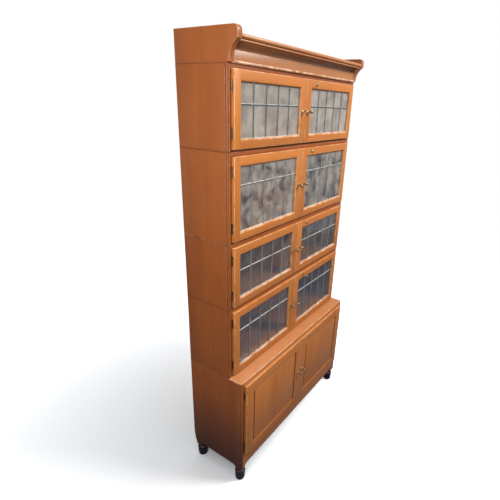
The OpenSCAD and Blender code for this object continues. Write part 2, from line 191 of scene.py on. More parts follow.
class Tree:
    """A short way to add nodes: an input is a number, a colour or another node's output."""

    def __init__(self, tree):
        self.tree = tree

    def set(self, socket, value):
        if isinstance(value, bpy.types.NodeSocket):
            self.tree.links.new(value, socket)
        else:
            socket.default_value = value

    def add(self, kind, inputs=None, **settings):
        node = self.tree.nodes.new(kind)
        for key, value in settings.items():
            setattr(node, key, value)
        for key, value in (inputs or {}).items():
            self.set(node.inputs[key], value)
        return node

    def out(self, kind, inputs=None, output=0, **settings):
        return self.add(kind, inputs, **settings).outputs[output]

    def math(self, operation, a, b=0.0, c=0.0, clamp=False):
        return self.out("ShaderNodeMath", {0: a, 1: b, 2: c}, operation=operation, use_clamp=clamp)

    def vector(self, operation, a, b=(0, 0, 0), scale=None):
        inputs = {0: a, 1: b}
        if scale is not None:
            inputs["Scale"] = scale
        output = "Value" if operation in ("DOT_PRODUCT", "LENGTH") else "Vector"
        return self.out("ShaderNodeVectorMath", inputs, output, operation=operation)

    def between(self, value, low, high, to_low=0.0, to_high=1.0):
        inputs = {"Value": value, "From Min": low, "From Max": high, "To Min": to_low, "To Max": to_high}
        return self.out("ShaderNodeMapRange", inputs, "Result")

    def blend(self, factor, a, b, blend_type="MIX"):
        node = self.add("ShaderNodeMix", data_type="RGBA", blend_type=blend_type)
        for index, value in ((0, factor), (6, a), (7, b)):
            self.set(node.inputs[index], value)
        return node.outputs[2]

    def noise(self, place, scale, detail=3.0, distortion=0.0):
        inputs = {"Vector": place, "Scale": scale, "Detail": detail, "Distortion": distortion}
        return self.out("ShaderNodeTexNoise", inputs, "Fac")

    def bump(self, height, strength, distance):
        return self.out("ShaderNodeBump", {"Height": height, "Strength": strength, "Distance": distance})

    def attribute(self, name, output="Fac"):
        return self.out("ShaderNodeAttribute", None, output, attribute_name=name)

    def xyz(self, x=0.0, y=0.0, z=0.0):
        return self.out("ShaderNodeCombineXYZ", {0: x, 1: y, 2: z})

    def height_of(self, vector):
        return self.out("ShaderNodeSeparateXYZ", {0: vector}, "Z")

    def line(self, count, step, start=(0.0, 0.0, 0.0)):
        return self.out("GeometryNodeMeshLine", {"Count": count, "Start Location": start, "Offset": step})

    def instances(self, points, instance, rotation=(0.0, 0.0, 0.0), scale=(1.0, 1.0, 1.0)):
        inputs = {"Points": points, "Instance": instance, "Rotation": rotation, "Scale": scale}
        return self.out("GeometryNodeInstanceOnPoints", inputs)


def rgba(values):
    return (*values, 1.0)


def new_material(name):
    """An empty node material, with its tree and the object's own coordinates."""
    material = bpy.data.materials.new(name)
    material.use_nodes = True
    material.node_tree.nodes.clear()
    tree = Tree(material.node_tree)
    return material, tree, tree.out("ShaderNodeTexCoord", None, "Object")


def close(material, tree, shader):
    """Ends a material in a shader node."""
    tree.add("ShaderNodeOutputMaterial", {"Surface": shader.outputs[0]})
    return material


TONES = (-10.0, 10.0)  # least and greatest tone of a board
SHADES = (0.40, 1.60)  # how much the least tone darkens the wood, and the greatest lightens it
PAINTED_SHADE_Z = (0.05, 0.42)  # heights where the painted shade near the floor begins to thin out, and where it ends


def along_grain(tree, place, grain, tone, stretch):
    """Coordinates squeezed along the grain, and moved by the tone so that no two boards are alike."""
    along = tree.math("MULTIPLY", tree.vector("DOT_PRODUCT", place, grain), 1 - stretch)
    squeezed = tree.vector("SUBTRACT", place, tree.vector("SCALE", grain, scale=along))
    return tree.vector("ADD", squeezed, tree.vector("SCALE", (1.3, 0.7, 1.1), scale=tone))


def wood(name, light, dark, props, polish=0.40, coat=0.08, wear_and_highlight=0.5, painted_shade=0.0):
    """Varnished wood. Each board's grain runs along its "grain" attribute, "tone" sets it apart from
    its neighbours and also carries painted shade in hollows and painted light on the ledge, and the worn
    mark on the eased edges shows pale wood where the varnish is rubbed through, which also serves as a
    painted highlight along them. How far the wood darkens towards the floor is painted shade."""
    material, tree, place = new_material(name)
    grain = tree.attribute("grain", "Vector")
    tone, worn = tree.attribute("tone"), tree.attribute("worn")
    board = along_grain(tree, place, grain, tone, props.stretch)
    figure = tree.noise(board, props.figure_scale, 4.0, 0.6)
    fibres = tree.noise(board, props.fibre_scale, 3.0, 0.2)
    pores = tree.between(tree.noise(board, props.fibre_scale * 2.4, 2.0), 0.60, 0.70)
    blotches = tree.noise(place, 6.0, 2.0)
    mixed = tree.math("MULTIPLY_ADD", figure, 0.42, tree.math("MULTIPLY", fibres, 0.36))
    mixed = tree.math("MULTIPLY_ADD", blotches, 0.22, mixed)
    base = tree.blend(tree.between(mixed, 0.34, 0.66), rgba(dark), rgba(light))
    base = tree.blend(tree.math("MULTIPLY", pores, 0.35), base, rgba([c * 0.5 for c in dark]))
    shade = tree.between(tone, *TONES, *SHADES)
    shade = tree.out("ShaderNodeCombineColor", {i: shade for i in range(3)})
    base = tree.blend(1.0, base, shade, "MULTIPLY")
    # painted shade: the wood darkens towards the floor
    if painted_shade:
        above = tree.between(tree.height_of(place), *PAINTED_SHADE_Z)
        shaded = tree.math("MULTIPLY", tree.math("SUBTRACT", 1.0, above), painted_shade)
        base = tree.blend(shaded, base, rgba([c * 0.25 for c in dark]))
    # rubbed edges turn pale: real wear, and also a painted highlight
    rubbed = tree.between(tree.noise(place, 38.0, 4.0), 0.36, 0.62)
    rubbed = tree.math("MULTIPLY", tree.math("MULTIPLY", rubbed, worn), wear_and_highlight, clamp=True)
    base = tree.blend(rubbed, base, rgba(props.worn))

    gloss = tree.between(fibres, 0.3, 0.7, polish + 0.05, polish - 0.05)
    gloss = tree.math("MULTIPLY_ADD", pores, 0.12, gloss)
    relief = tree.math("MULTIPLY_ADD", pores, -0.8, fibres)
    inputs = {
        "Base Color": base,
        "Roughness": gloss,
        "Normal": tree.bump(relief, 0.25, 0.0002),
        "Specular IOR Level": 0.32,
        "Coat Weight": coat,
        "Coat Roughness": 0.22,
    }
    return close(material, tree, tree.add("ShaderNodeBsdfPrincipled", inputs))


def metal(name, light, dark, roughness, tarnish=(0.42, 0.62)):
    """Metal with patches of tarnish."""
    material, tree, place = new_material(name)
    patches = tree.noise(place, 210.0, 4.0, 0.5)
    cloud = tree.noise(place, 45.0, 2.0)
    mixed = tree.math("MULTIPLY_ADD", cloud, 0.5, tree.math("MULTIPLY", patches, 0.5))
    inputs = {
        "Base Color": tree.blend(tree.between(mixed, *tarnish), rgba(dark), rgba(light)),
        "Roughness": tree.between(mixed, 0.35, 0.65, roughness + 0.14, roughness - 0.05),
        "Metallic": 1.0,
        "Normal": tree.bump(patches, 0.2, 0.0001),
    }
    return close(material, tree, tree.add("ShaderNodeBsdfPrincipled", inputs))


def lead(name, light, dark):
    """Dull lead with a grey bloom, and a painted highlight on the faces that look up."""
    material, tree, place = new_material(name)
    up = tree.height_of(tree.out("ShaderNodeNewGeometry", None, "Normal"))
    bloom = tree.noise(place, 130.0, 4.0, 0.4)
    # painted highlight where the lead faces up
    bright = tree.math("MULTIPLY", tree.between(up, 0.1, 0.75), tree.between(bloom, 0.25, 0.55), clamp=True)
    base = tree.blend(bright, rgba(dark), rgba(light))
    inputs = {
        "Base Color": tree.blend(tree.between(bloom, 0.5, 0.75, 0.0, 0.25), base, rgba(light)),
        "Roughness": tree.between(bloom, 0.3, 0.7, 0.42, 0.6),
        "Metallic": 0.35,
        "Normal": tree.bump(bloom, 0.3, 0.0002),
    }
    return close(material, tree, tree.add("ShaderNodeBsdfPrincipled", inputs))


def leaded_glass(props):
    """Old window glass: clear with a wavy gloss, and a film of dust as thick as its "dust" attribute says
    and as uneven as its "patchy" attribute says. The film is dust, and where it is thick, on the top section,
    it is also a painted reflection of a bright room."""
    material, tree, place = new_material("leaded_glass")
    dust, patchy = tree.attribute("dust"), tree.attribute("patchy")
    bump = tree.bump(tree.noise(place, 17.0, 2.0, 0.4), 0.5, 0.004)
    clear = tree.out("ShaderNodeBsdfTransparent", {"Color": rgba(props.tint)})
    inputs = {"Color": rgba(props.sheen), "Roughness": 0.03, "Normal": bump}
    gloss = tree.out("ShaderNodeBsdfGlossy", inputs, distribution="GGX")
    slant = tree.out("ShaderNodeLayerWeight", {"Blend": 0.5, "Normal": bump}, "Facing")
    mirrored = tree.math("MULTIPLY_ADD", tree.math("POWER", slant, 5.0), 0.9, 0.075)
    pane = tree.out("ShaderNodeMixShader", {0: mirrored, 1: clear, 2: gloss})
    film = tree.out("ShaderNodeBsdfDiffuse", {"Color": rgba(props.dust)})
    swing = tree.between(tree.noise(place, 22.0, 5.0, 0.5), 0.34, 0.66, -1.0, 1.0)
    smears = tree.math("MULTIPLY_ADD", swing, patchy, 1.0)
    thickness = tree.math("MULTIPLY", dust, smears, clamp=True)
    return close(material, tree, tree.add("ShaderNodeMixShader", {0: thickness, 1: pane, 2: film}))


def floor_finish(props):
    """Plain pale floor that glows, as painted light, more and more away from the middle of its shadow, so
    that it fades into the surround away from the bookcase; it throws little light back.
    """
    material, tree, place = new_material("pale_floor")
    path = tree.add("ShaderNodeLightPath").outputs
    away = tree.vector("LENGTH", tree.vector("SUBTRACT", place, props.shadow_centre))
    lost = tree.math("POWER", tree.between(away, 0.0, props.shadow_reach), 1.5)
    pale = tree.out("ShaderNodeBsdfDiffuse", {"Color": rgba(props.floor)})
    glow = tree.out("ShaderNodeEmission", {"Strength": tree.math("MULTIPLY", lost, props.floor_glow)})
    top = tree.out("ShaderNodeAddShader", {0: pale, 1: glow})
    thrown = tree.blend(path["Is Glossy Ray"], rgba(props.floor_bounce), rgba(props.floor_mirrored))
    dull = tree.out("ShaderNodeBsdfDiffuse", {"Color": thrown})
    return close(material, tree, tree.add("ShaderNodeMixShader", {0: path["Is Camera Ray"], 1: dull, 2: top}))


def make_finishes(scene):
    """Every material of the bookcase, by name."""
    woods, metals = scene.bookcase_wood, scene.bookcase_metal
    return {
        # the case wood takes painted shade towards the floor
        "case": wood("case_wood", woods.case_light, woods.case_dark, woods, painted_shade=0.85),
        "front": wood("front_wood", woods.front_light, woods.front_dark, woods, wear_and_highlight=0.7),
        "door": wood("door_wood", woods.door_light, woods.door_dark, woods),
        "back": wood("back_wood", woods.back_light, woods.back_dark, woods, 0.6, 0.0, 0.2),
        "foot": wood("foot_lacquer", woods.foot_light, woods.foot_dark, woods, 0.34, 0.12, 0.06),
        "brass": metal("aged_brass", metals.brass_light, metals.brass_dark, 0.28),
        "hinge": metal("hinge_brass", metals.hinge_light, metals.hinge_dark, 0.38, (0.50, 0.72)),
        "key": metal("key_brass", metals.key_light, metals.key_dark, 0.25),
        "lead": lead("dull_lead", metals.lead_highlight_and_bloom, metals.lead_dark),
        "black_lead": lead("blackened_lead", metals.lead_highlight_and_bloom, metals.lead_black),
        "glass": leaded_glass(scene.bookcase_glazing),
    }


FINISHES = {}


def finish_of(name):
    """A material by its short name. All are made at the first call."""
    if not FINISHES:
        FINISHES.update(make_finishes(bpy.context.scene))
    return FINISHES[name]


# ---- Meshes ----


def islands(bm):
    """The faces of each loose part, in the order of their first face."""
    bm.faces.ensure_lookup_table()
    seen, groups = set(), []
    for first in bm.faces:
        if first in seen:
            continue
        seen.add(first)
        group, waiting = [], [first]
        while waiting:
            face = waiting.pop()
            group.append(face)
            for edge in face.edges:
                for other in edge.link_faces:
                    if other not in seen:
                        seen.add(other)
                        waiting.append(other)
        groups.append(group)
    return groups


def grain_layers(bm):
    layers = bm.faces.layers
    return (
        layers.float.get("tone") or layers.float.new("tone"),
        layers.float_vector.get("grain") or layers.float_vector.new("grain"),
        layers.float.get("worn") or layers.float.new("worn"),
    )


def mark_grain(bm, faces, grain, tone, worn=(), amount=1.0):
    """Gives faces their grain direction and tone, and marks the worn ones by an amount; the mark makes them
    pale as rubbed wood and as a painted highlight.
    """
    tone_layer, grain_layer, worn_layer = grain_layers(bm)
    worn = set(worn)
    for face in faces:
        face[tone_layer] = tone
        face[grain_layer] = grain
        face[worn_layer] = amount if face in worn else 0.0


def ease_edges(bm, edges, radius, segments=2):
    """Rounds edges, and returns the new faces."""
    if not edges:
        return []
    settings = {"offset_type": "OFFSET", "affect": "EDGES", "clamp_overlap": True, "material": -1}
    return bmesh.ops.bevel(bm, geom=edges, offset=radius, segments=segments, profile=0.5, **settings)["faces"]


def edges_of(faces):
    """The edges of some faces, each once."""
    return {e for f in faces for e in f.edges}


def middle(face):
    return face.calc_center_median()


TONE, WORN_AND_HIGHLIT = 0, 2  # places of the two layers among the grain layers


def touch_up(bm, which, value, test):
    """Sets the tone or the wear of the faces that pass a test."""
    layer = grain_layers(bm)[which]
    for face in bm.faces:
        if test(face):
            face[layer] = value


def sharp_edges(bm, least=40.0):
    """The outward edges that turn by more than least degrees."""
    return [
        e for e in bm.edges
        if len(e.link_faces) == 2 and e.is_convex and e.calc_face_angle() > math.radians(least)
    ]


def to_mesh(name, bm):
    """Turns a bmesh into a mesh."""
    mesh = bpy.data.meshes.new(name)
    bm.to_mesh(mesh)
    bm.free()
    return mesh


def add_object(name, data):
    """A new object in the scene."""
    made = bpy.data.objects.new(name, data)
    bpy.context.scene.collection.objects.link(made)
    return made


def add_piece(name, bm, finish, body, replaces=(), smooth=35.0):
    """Turns a bmesh into a finished piece that rides on a body."""
    return add_mesh_piece(name, to_mesh(name, bm), finish, body, replaces, smooth)


def add_mesh_piece(name, mesh, finish, body, replaces=(), smooth=35.0):
    """Makes a mesh a piece that rides on a body. Edges that turn by more than smooth degrees stay sharp."""
    if finish:
        mesh.materials.clear()
        mesh.materials.append(finish_of(finish))
    mesh.shade_smooth()
    mesh.set_sharp_from_angle(angle=math.radians(smooth))
    piece = add_object(name, mesh)
    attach(piece, body)
    if replaces:
        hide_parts(*replaces)
    return piece


def eased_copy(node, name, finish, grain, ease, cut=None, touch=None):
    """A copy of a carcase node with its edges eased and a tone for each of its boards. It can be cut to
    shape before its edges are eased, and its tones touched up after."""
    bm = bmesh.new()
    bm.from_mesh(frame["nodes"][node].data)
    grain_layers(bm)
    bmesh.ops.remove_doubles(bm, verts=bm.verts, dist=0.00002)
    bmesh.ops.dissolve_limit(bm, angle_limit=math.radians(0.5), verts=bm.verts, edges=bm.edges)
    if cut:
        cut(bm)
    worn = ease_edges(bm, sharp_edges(bm), ease)
    chance = random.Random(node)
    for group in islands(bm):
        mark_grain(bm, group, grain, chance.uniform(-1, 1), worn)
    if touch:
        touch(bm)
    return add_piece(name, bm, finish, "root", [node])


def slice_across(bm, place, normal):
    """Cuts faces along a plane and leaves them joined."""
    everything = bm.verts[:] + bm.edges[:] + bm.faces[:]
    bmesh.ops.bisect_plane(bm, geom=everything, dist=1e-6, plane_co=place, plane_no=normal)


def rub_ends(bm, low, high, amounts):
    """Marks the bands along the bottom and top ends of upright boards as worn by two amounts, and leaves
    their arrises dark with old polish."""
    touch_up(bm, WORN_AND_HIGHLIT, amounts[0], lambda f: middle(f).z < low + SEAM)
    touch_up(bm, WORN_AND_HIGHLIT, amounts[1], lambda f: middle(f).z > high - SEAM)
    touch_up(bm, TONE, POLISH_AND_SHADE_TONE, lambda f: min(middle(f).z - low, high - middle(f).z) < 0.7 * SEAM)


def add_box(bm, low, high):
    """A box between two corners, as its eight vertices and six faces."""
    low, high = Vector(low), Vector(high)
    place = Matrix.Translation((low + high) / 2) @ Matrix.Diagonal((*(high - low), 1))
    made = bmesh.ops.create_cube(bm, size=1.0, matrix=place)
    faces = list({f for v in made["verts"] for f in v.link_faces})
    return made["verts"], faces


def add_board(bm, low, high, grain, tone, ease, plain=(), segments=3, amount=1.0):
    """A board between two corners. Its edges are eased, except those of the faces that look along one of
    the plain directions, where it meets another board."""
    verts, faces = add_box(bm, low, high)
    kept = edges_of(f for f in faces if any(f.normal.dot(Vector(d)) > 0.9 for d in plain))
    worn = ease_edges(bm, [e for e in edges_of(faces) if e not in kept], ease, segments)
    group = {f for v in verts if v.is_valid for f in v.link_faces} | set(worn)
    group |= {f for face in list(group) if face.is_valid for e in face.edges for f in e.link_faces}
    mark_grain(bm, group, grain, tone, worn, amount)


def add_shell(bm, rings):
    """Joins rings of points one after another, and closes the two ends."""
    made = [[bm.verts.new(p) for p in ring] for ring in rings]
    faces = []
    count = len(made[0])
    for a, b in zip(made, made[1:]):
        for i in range(count):
            j = (i + 1) % count
            faces.append(bm.faces.new((a[i], a[j], b[j], b[i])))
    faces.append(bm.faces.new(list(reversed(made[0]))))
    faces.append(bm.faces.new(made[-1]))
    bmesh.ops.recalc_face_normals(bm, faces=faces)
    return faces


def cross_axes(axis):
    """An axis and two more at right angles to it, each one metre long."""
    axis = Vector(axis).normalized()
    side = axis.orthogonal().normalized()
    return axis, side, axis.cross(side)


def add_turning(bm, profile, centre, axis, steps=32, closed=False):
    """A turned shape. The profile is pairs of radius and distance along the axis, from end to end, or all
    the way round if it is closed, as for a ring."""
    axis, side, other = cross_axes(axis)
    centre = Vector(centre)
    tips = {k: bm.verts.new(centre + axis * d) for k, (r, d) in enumerate(profile) if r < 1e-7}
    rows = []
    for i in range(steps):
        turn = 2 * math.pi * i / steps
        outward = side * math.cos(turn) + other * math.sin(turn)
        points = [centre + axis * d + outward * r for r, d in profile]
        rows.append([tips[k] if k in tips else bm.verts.new(p) for k, p in enumerate(points)])
    faces = []
    for i in range(steps):
        a, b = rows[i], rows[(i + 1) % steps]
        for k in range(len(profile) if closed else len(profile) - 1):
            m = (k + 1) % len(profile)
            corners = list(dict.fromkeys((a[k], a[m], b[m], b[k])))
            if len(corners) > 2:
                faces.append(bm.faces.new(corners))
    bmesh.ops.recalc_face_normals(bm, faces=faces)
    return faces


def arc(centre, radius, start, end, steps):
    """Points of an arc, from one angle to another in degrees."""
    turns = [math.radians(start + (end - start) * i / steps) for i in range(steps + 1)]
    return [(centre[0] + radius * math.cos(t), centre[1] + radius * math.sin(t)) for t in turns]


def mm(*points):
    """Pairs of millimetres in metres."""
    return [(a * MM, b * MM) for a, b in points]


def mirrored(half, height=0.0):
    """Half a profile with its mirror image, which ends at a height."""
    return half + [(r, height - d) for r, d in reversed(half)]


def add_slotted_disc(bm, centre, axis, radius, thickness, slot, depth, steps=8):
    """A flat round head with a slot across it: two half heads on a thinner disc."""
    up, side, other = cross_axes(axis)
    centre = Vector(centre)
    for sign in (-1, 1):
        lip = centre + side * (sign * slot / 2)
        half = arc((0, 0), 1.0, -90, 90, steps)
        half = [side * (sign * (radius - slot / 2) * u) + other * (radius * v) for u, v in half]
        levels = ((1.0, 0.0), (1.0, thickness * 0.6), (0.88, thickness))
        add_shell(bm, [[lip + up * rise + p * shrink for p in half] for shrink, rise in levels])
    core = radius * 0.96
    profile = [(0, 0), (core, 0), (core, thickness - depth), (0, thickness - depth)]
    add_turning(bm, profile, centre, axis, 2 * steps)


# ---- Repeated pieces ----


def geometry_tree(name, inputs):
    """A geometry tree with named inputs, and its helper. It starts from the mesh that it is put on."""
    group = bpy.data.node_groups.new(name, "GeometryNodeTree")
    group.interface.new_socket("Geometry", in_out="INPUT", socket_type="NodeSocketGeometry")
    for label, kind in inputs.items():
        group.interface.new_socket(label, in_out="INPUT", socket_type=f"NodeSocket{kind}")
    group.interface.new_socket("Geometry", in_out="OUTPUT", socket_type="NodeSocketGeometry")
    tree = Tree(group)
    source = tree.add("NodeGroupInput")
    return group, tree, source.outputs


def end_tree(tree, geometry, material):
    """Ends a geometry tree in plain geometry with its material."""
    real = tree.out("GeometryNodeRealizeInstances", {0: geometry})
    painted = tree.out("GeometryNodeSetMaterial", {"Geometry": real, "Material": material})
    tree.add("NodeGroupOutput", {0: painted})


def joined(tree, *parts):
    """Several geometries as one."""
    node = tree.add("GeometryNodeJoinGeometry")
    for part in parts:
        tree.tree.links.new(part, node.inputs[0])
    return node.outputs[0]


def grow(group, base, values, place):
    """The plain mesh that a geometry tree makes from a base mesh, moved to its place."""
    holder = add_object(group.name, base)
    modifier = holder.modifiers.new(group.name, "NODES")
    modifier.node_group = group
    for item in group.interface.items_tree:
        if item.in_out == "INPUT" and item.name in values:
            modifier[item.identifier] = values[item.name]
    graph = bpy.context.evaluated_depsgraph_get()
    mesh = bpy.data.meshes.new_from_object(
        holder.evaluated_get(graph), preserve_all_data_layers=True, depsgraph=graph
    )
    holder.modifiers.remove(modifier)
    bpy.data.objects.remove(holder)
    mesh.transform(place)
    return mesh


LIGHT_INPUTS = {
    "Width": "Float",
    "Height": "Float",
    "Columns": "Int",
    "Upper Row": "Float",
    "Material": "Material",
    "Seed": "Int",
}


def crossings_tree():
    """Sweeps a came's section along every line of a leaded light, with solder where they cross."""
    inputs = {**LIGHT_INPUTS, "Solder Radius": "Float", "Solder Rise": "Float"}
    group, tree, given = geometry_tree("came_lattice", inputs)
    section = tree.out("GeometryNodeMeshToCurve", {0: given["Geometry"]})
    step = tree.xyz(tree.math("DIVIDE", given["Width"], given["Columns"]))
    count = tree.math("ADD", given["Columns"], 1.0)
    row_height = tree.math("SUBTRACT", given["Height"], given["Upper Row"])

    def came(along):
        line = tree.out("GeometryNodeCurvePrimitiveLine", {"End": tree.xyz(z=along)})
        inputs = {"Curve": line, "Profile Curve": section, "Fill Caps": True}
        return tree.out("GeometryNodeCurveToMesh", inputs)

    parts = [tree.instances(tree.line(count, step), came(given["Height"]))]
    level = came(given["Width"])
    blob = tree.out("GeometryNodeMeshUVSphere", {"Segments": 10, "Rings": 6, "Radius": 1.0})
    for index, height in enumerate((0.0, row_height, given["Height"])):
        at = tree.xyz(z=height)
        inputs = {"Geometry": level, "Translation": at, "Rotation": (0.0, math.pi / 2, 0.0)}
        parts.append(tree.out("GeometryNodeTransform", inputs))
        seed = tree.math("ADD", given["Seed"], float(index))
        lumpy = tree.out("FunctionNodeRandomValue", {2: 0.8, 3: 1.15, "Seed": seed}, 1)
        radius = tree.math("MULTIPLY", given["Solder Radius"], lumpy)
        size = tree.xyz(radius, given["Solder Rise"], radius)
        parts.append(tree.instances(tree.line(count, step, at), blob, scale=size))
    end_tree(tree, joined(tree, *parts), given["Material"])
    return group


def panes_tree():
    """Sets the panes of a leaded light between its cames, each with a slight lean of its own."""
    group, tree, given = geometry_tree("panes", {**LIGHT_INPUTS, "Heart": "Float", "Tilt": "Float"})
    pitch = tree.math("DIVIDE", given["Width"], given["Columns"])
    pane_width = tree.math("SUBTRACT", pitch, given["Heart"])
    row_height = tree.math("SUBTRACT", given["Height"], given["Upper Row"])
    parts = []
    for index, (low, high) in enumerate(((0.0, row_height), (row_height, given["Height"]))):
        centre = tree.math("MULTIPLY", tree.math("ADD", low, high), 0.5)
        tall = tree.math("SUBTRACT", tree.math("SUBTRACT", high, low), given["Heart"])
        start = tree.xyz(tree.math("MULTIPLY", pitch, 0.5), z=centre)
        row = tree.line(given["Columns"], tree.xyz(pitch), start)
        inputs = {0: (-1.0, 0.0, -1.0), 1: (1.0, 0.0, 1.0)}
        inputs["Seed"] = tree.math("ADD", given["Seed"], float(index))
        lean = tree.out("FunctionNodeRandomValue", inputs, data_type="FLOAT_VECTOR")
        lean = tree.vector("SCALE", lean, scale=given["Tilt"])
        parts.append(tree.instances(row, given["Geometry"], lean, tree.xyz(pane_width, 1.0, tall)))
    end_tree(tree, joined(tree, *parts), given["Material"])
    return group


def rows_tree():
    """Repeats one item in rows, each turned about its own axis at random, as slotted heads are."""
    inputs = {name: "Vector" for name in ("Step", "Row Step", "Axis")}
    inputs.update({"Count": "Int", "Rows": "Int", "Material": "Material", "Seed": "Int"})
    group, tree, given = geometry_tree("screw_rows", inputs)
    places = tree.line(given["Count"], given["Step"])
    spread = tree.instances(tree.line(given["Rows"], given["Row Step"]), places)
    spread = tree.out("GeometryNodeRealizeInstances", {0: spread})
    turn = tree.out("FunctionNodeRandomValue", {2: 0.0, 3: math.pi, "Seed": given["Seed"]}, 1)
    turned = tree.vector("SCALE", given["Axis"], scale=turn)
    end_tree(tree, tree.instances(spread, given["Geometry"], turned), given["Material"])
    return group


TREES = {}


def tree_of(name):
    """A geometry tree by name, made once."""
    makers = {"cames": crossings_tree, "panes": panes_tree, "rows": rows_tree}
    if name not in TREES:
        TREES[name] = makers[name]()
    return TREES[name]


def add_screws(name, body, radius, facing, first, count, step, row_step, seed):
    """Two rows of slotted screw heads that look along an axis, from the place of the first head."""
    bm = bmesh.new()
    add_slotted_disc(bm, (0, 0, 0), facing, radius, 0.7 * MM, 0.55 * MM, 0.35 * MM, 6)
    values = {
        "Count": count,
        "Step": step,
        "Rows": 2,
        "Row Step": row_step,
        "Axis": [abs(c) for c in facing],
        "Material": finish_of("hinge"),
        "Seed": seed,
    }
    heads = grow(tree_of("rows"), to_mesh("screw_head", bm), values, Matrix.Translation(first))
    add_mesh_piece(name, heads, None, body)


# ---- Doors ----

LIP = 5.8 * MM  # wood in front of the glass
GLASS_Y = 7.1 * MM  # from the door's front to the front of the glass
REBATE = 6 * MM  # depth of the rebate that holds glass or panel
BITE = 5 * MM  # how far a cupboard panel reaches into its groove
DOOR_EDGE = 2 * MM  # radius of a door's outer edges
BAR_GAP = 0.1 * MM  # joint between two bars
PANEL_T = 6 * MM
BEAD_BACK = 2.5 * MM  # how far the glazing bead stands back from the door's back face
BEAD_GAP = 4.4 * MM  # from the front of the glass to the front of the bead
PANEL_MARGIN = 7 * MM
MARGIN_SHADE_TONE = -8.0  # painted shade in the sunk margin round the field, and on the field's upright edges
HINGE_INSET = 48 * MM
HINGE_H = 36 * MM
KNOB_INSET = 19 * MM
LOCK_X = 76 * MM
LOCK_DROP = 15 * MM


def body_name(unit, side):
    return f"{unit}_{side}_door"


def door_box(unit, side):
    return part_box(f"{unit}_{side}_frame")


def opening(unit, side):
    """Left, right, bottom and top of a door's sight opening."""
    if unit == "base":
        low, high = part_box(f"base_{side}_panel")
        return low.x + BITE, high.x - BITE, low.z + BITE, high.z - BITE
    low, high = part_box(f"{unit}_{side}_cames")
    return low.x - BAR_GAP, high.x + BAR_GAP, low.z - BAR_GAP, high.z + BAR_GAP


def bar_tones(unit, side):
    """A tone for each bar of a door: left, right, bottom and top."""
    chance = random.Random(f"{unit} {side}")
    return [chance.uniform(-1, 1) for _ in range(4)]


def add_frame_bars(bm, unit, side):
    """The four boards of a door frame, back to the rebate. The uprights run the full height."""
    low, high = door_box(unit, side)
    x0, x1, z0, z1 = opening(unit, side)
    x0, x1, z0, z1 = x0 - REBATE, x1 + REBATE, z0 - REBATE, z1 + REBATE
    tones = bar_tones(unit, side)
    y0, y1 = low.y, high.y
    add_board(bm, (low.x, y0, low.z), (x0, y1, high.z), Z_AXIS, tones[0], DOOR_EDGE, [(1, 0, 0)])
    add_board(bm, (x1, y0, low.z), (high.x, y1, high.z), Z_AXIS, tones[1], DOOR_EDGE, [(-1, 0, 0)])
    for z_low, z_high, tone, inner in ((low.z, z0, tones[2], 1), (z1, high.z, tones[3], -1)):
        plain = [(1, 0, 0), (-1, 0, 0), (0, 0, inner)]
        add_board(
            bm, (x0 + BAR_GAP, y0, z_low), (x1 - BAR_GAP, y1, z_high), X_AXIS, tone, DOOR_EDGE, plain
        )


def add_mitred_ring(bm, rectangle, section, y, tones, worn=(0, 0, 0, 0)):
    """Four strips with mitred corners round a rectangle. The section is pairs of how far out from the
    rectangle and how far back from y. Worn is how rubbed the left, right, bottom and top strips are, the pale
    rubbed wood being also a painted highlight."""
    x, z = rectangle[:2], rectangle[2:]

    def corner(i, j):
        return [Vector((x[i] + (u if i else -u), y + w, z[j] + (u if j else -u))) for u, w in section]

    ends = ((0, 0, 0, 1), (1, 0, 1, 1), (0, 0, 1, 0), (0, 1, 1, 1))
    for (i, j, k, m), grain, tone, amount in zip(ends, (Z_AXIS, Z_AXIS, X_AXIS, X_AXIS), tones, worn):
        faces = add_shell(bm, [corner(i, j), corner(k, m)])
        mark_grain(bm, faces, grain, tone, faces, amount)


def sight_section(r=2.6 * MM, fillet=0.8 * MM):
    """Section of the moulded sight edge: an ovolo between a narrow fillet and the lip."""
    edge = fillet + r
    points = [(REBATE, 0), (edge + 0.5 * MM, 0), (edge, 0.4 * MM)]
    points += arc((edge, r + 0.4 * MM), r, 270, 180, 5)[1:]
    return points + [(fillet * 0.3, r + 0.7 * MM), (0, r + 1.1 * MM), (0, LIP), (REBATE, LIP)]


def bead_section(front, back):
    """Section of the glazing bead behind the glass, with its inner corner rounded."""
    r, inner = 2 * MM, 0.3 * MM
    return [(REBATE, front), (inner, front)] + arc((inner + r, back - r), r, 180, 90, 4) + [(REBATE, back)]


def add_door_frame(unit, side):
    """A door frame: four bars, a moulded sight edge, and glazing beads or a grooved back."""
    bm = bmesh.new()
    grain_layers(bm)
    add_frame_bars(bm, unit, side)
    low, high = door_box(unit, side)
    thick = high.y - low.y
    if unit == "base":
        seat, behind = GLASS_Y - BAR_GAP, GLASS_Y + PANEL_T + 2 * BAR_GAP
        front = [(REBATE, 0), (0.5 * MM, 0), (0, 0.5 * MM), (0, seat), (REBATE, seat)]
        back = [(REBATE, behind), (0, behind), (0, thick - 0.6 * MM), (0.6 * MM, thick), (REBATE, thick)]
        wear_and_highlight = (0, 0, 0, 0)
    else:
        front, back = sight_section(), bead_section(GLASS_Y + BEAD_GAP, thick - BEAD_BACK)
        # rubbed pale wood on the sight edge, which is also a painted highlight: most on the bottom edge,
        # which faces up to the light, none on the top edge, which is in shade
        wear_and_highlight = (0.1, 0.5, 1.0, 0.0)
    rectangle, tones = opening(unit, side), bar_tones(unit, side)
    add_mitred_ring(bm, rectangle, front, low.y, tones, wear_and_highlight)
    add_mitred_ring(bm, rectangle, back, low.y, tones)
    bmesh.ops.recalc_face_normals(bm, faces=bm.faces)
    name = f"{unit}_{side}"
    add_piece(f"{name}_door_frame", bm, "door", body_name(unit, side), [f"{name}_frame"])


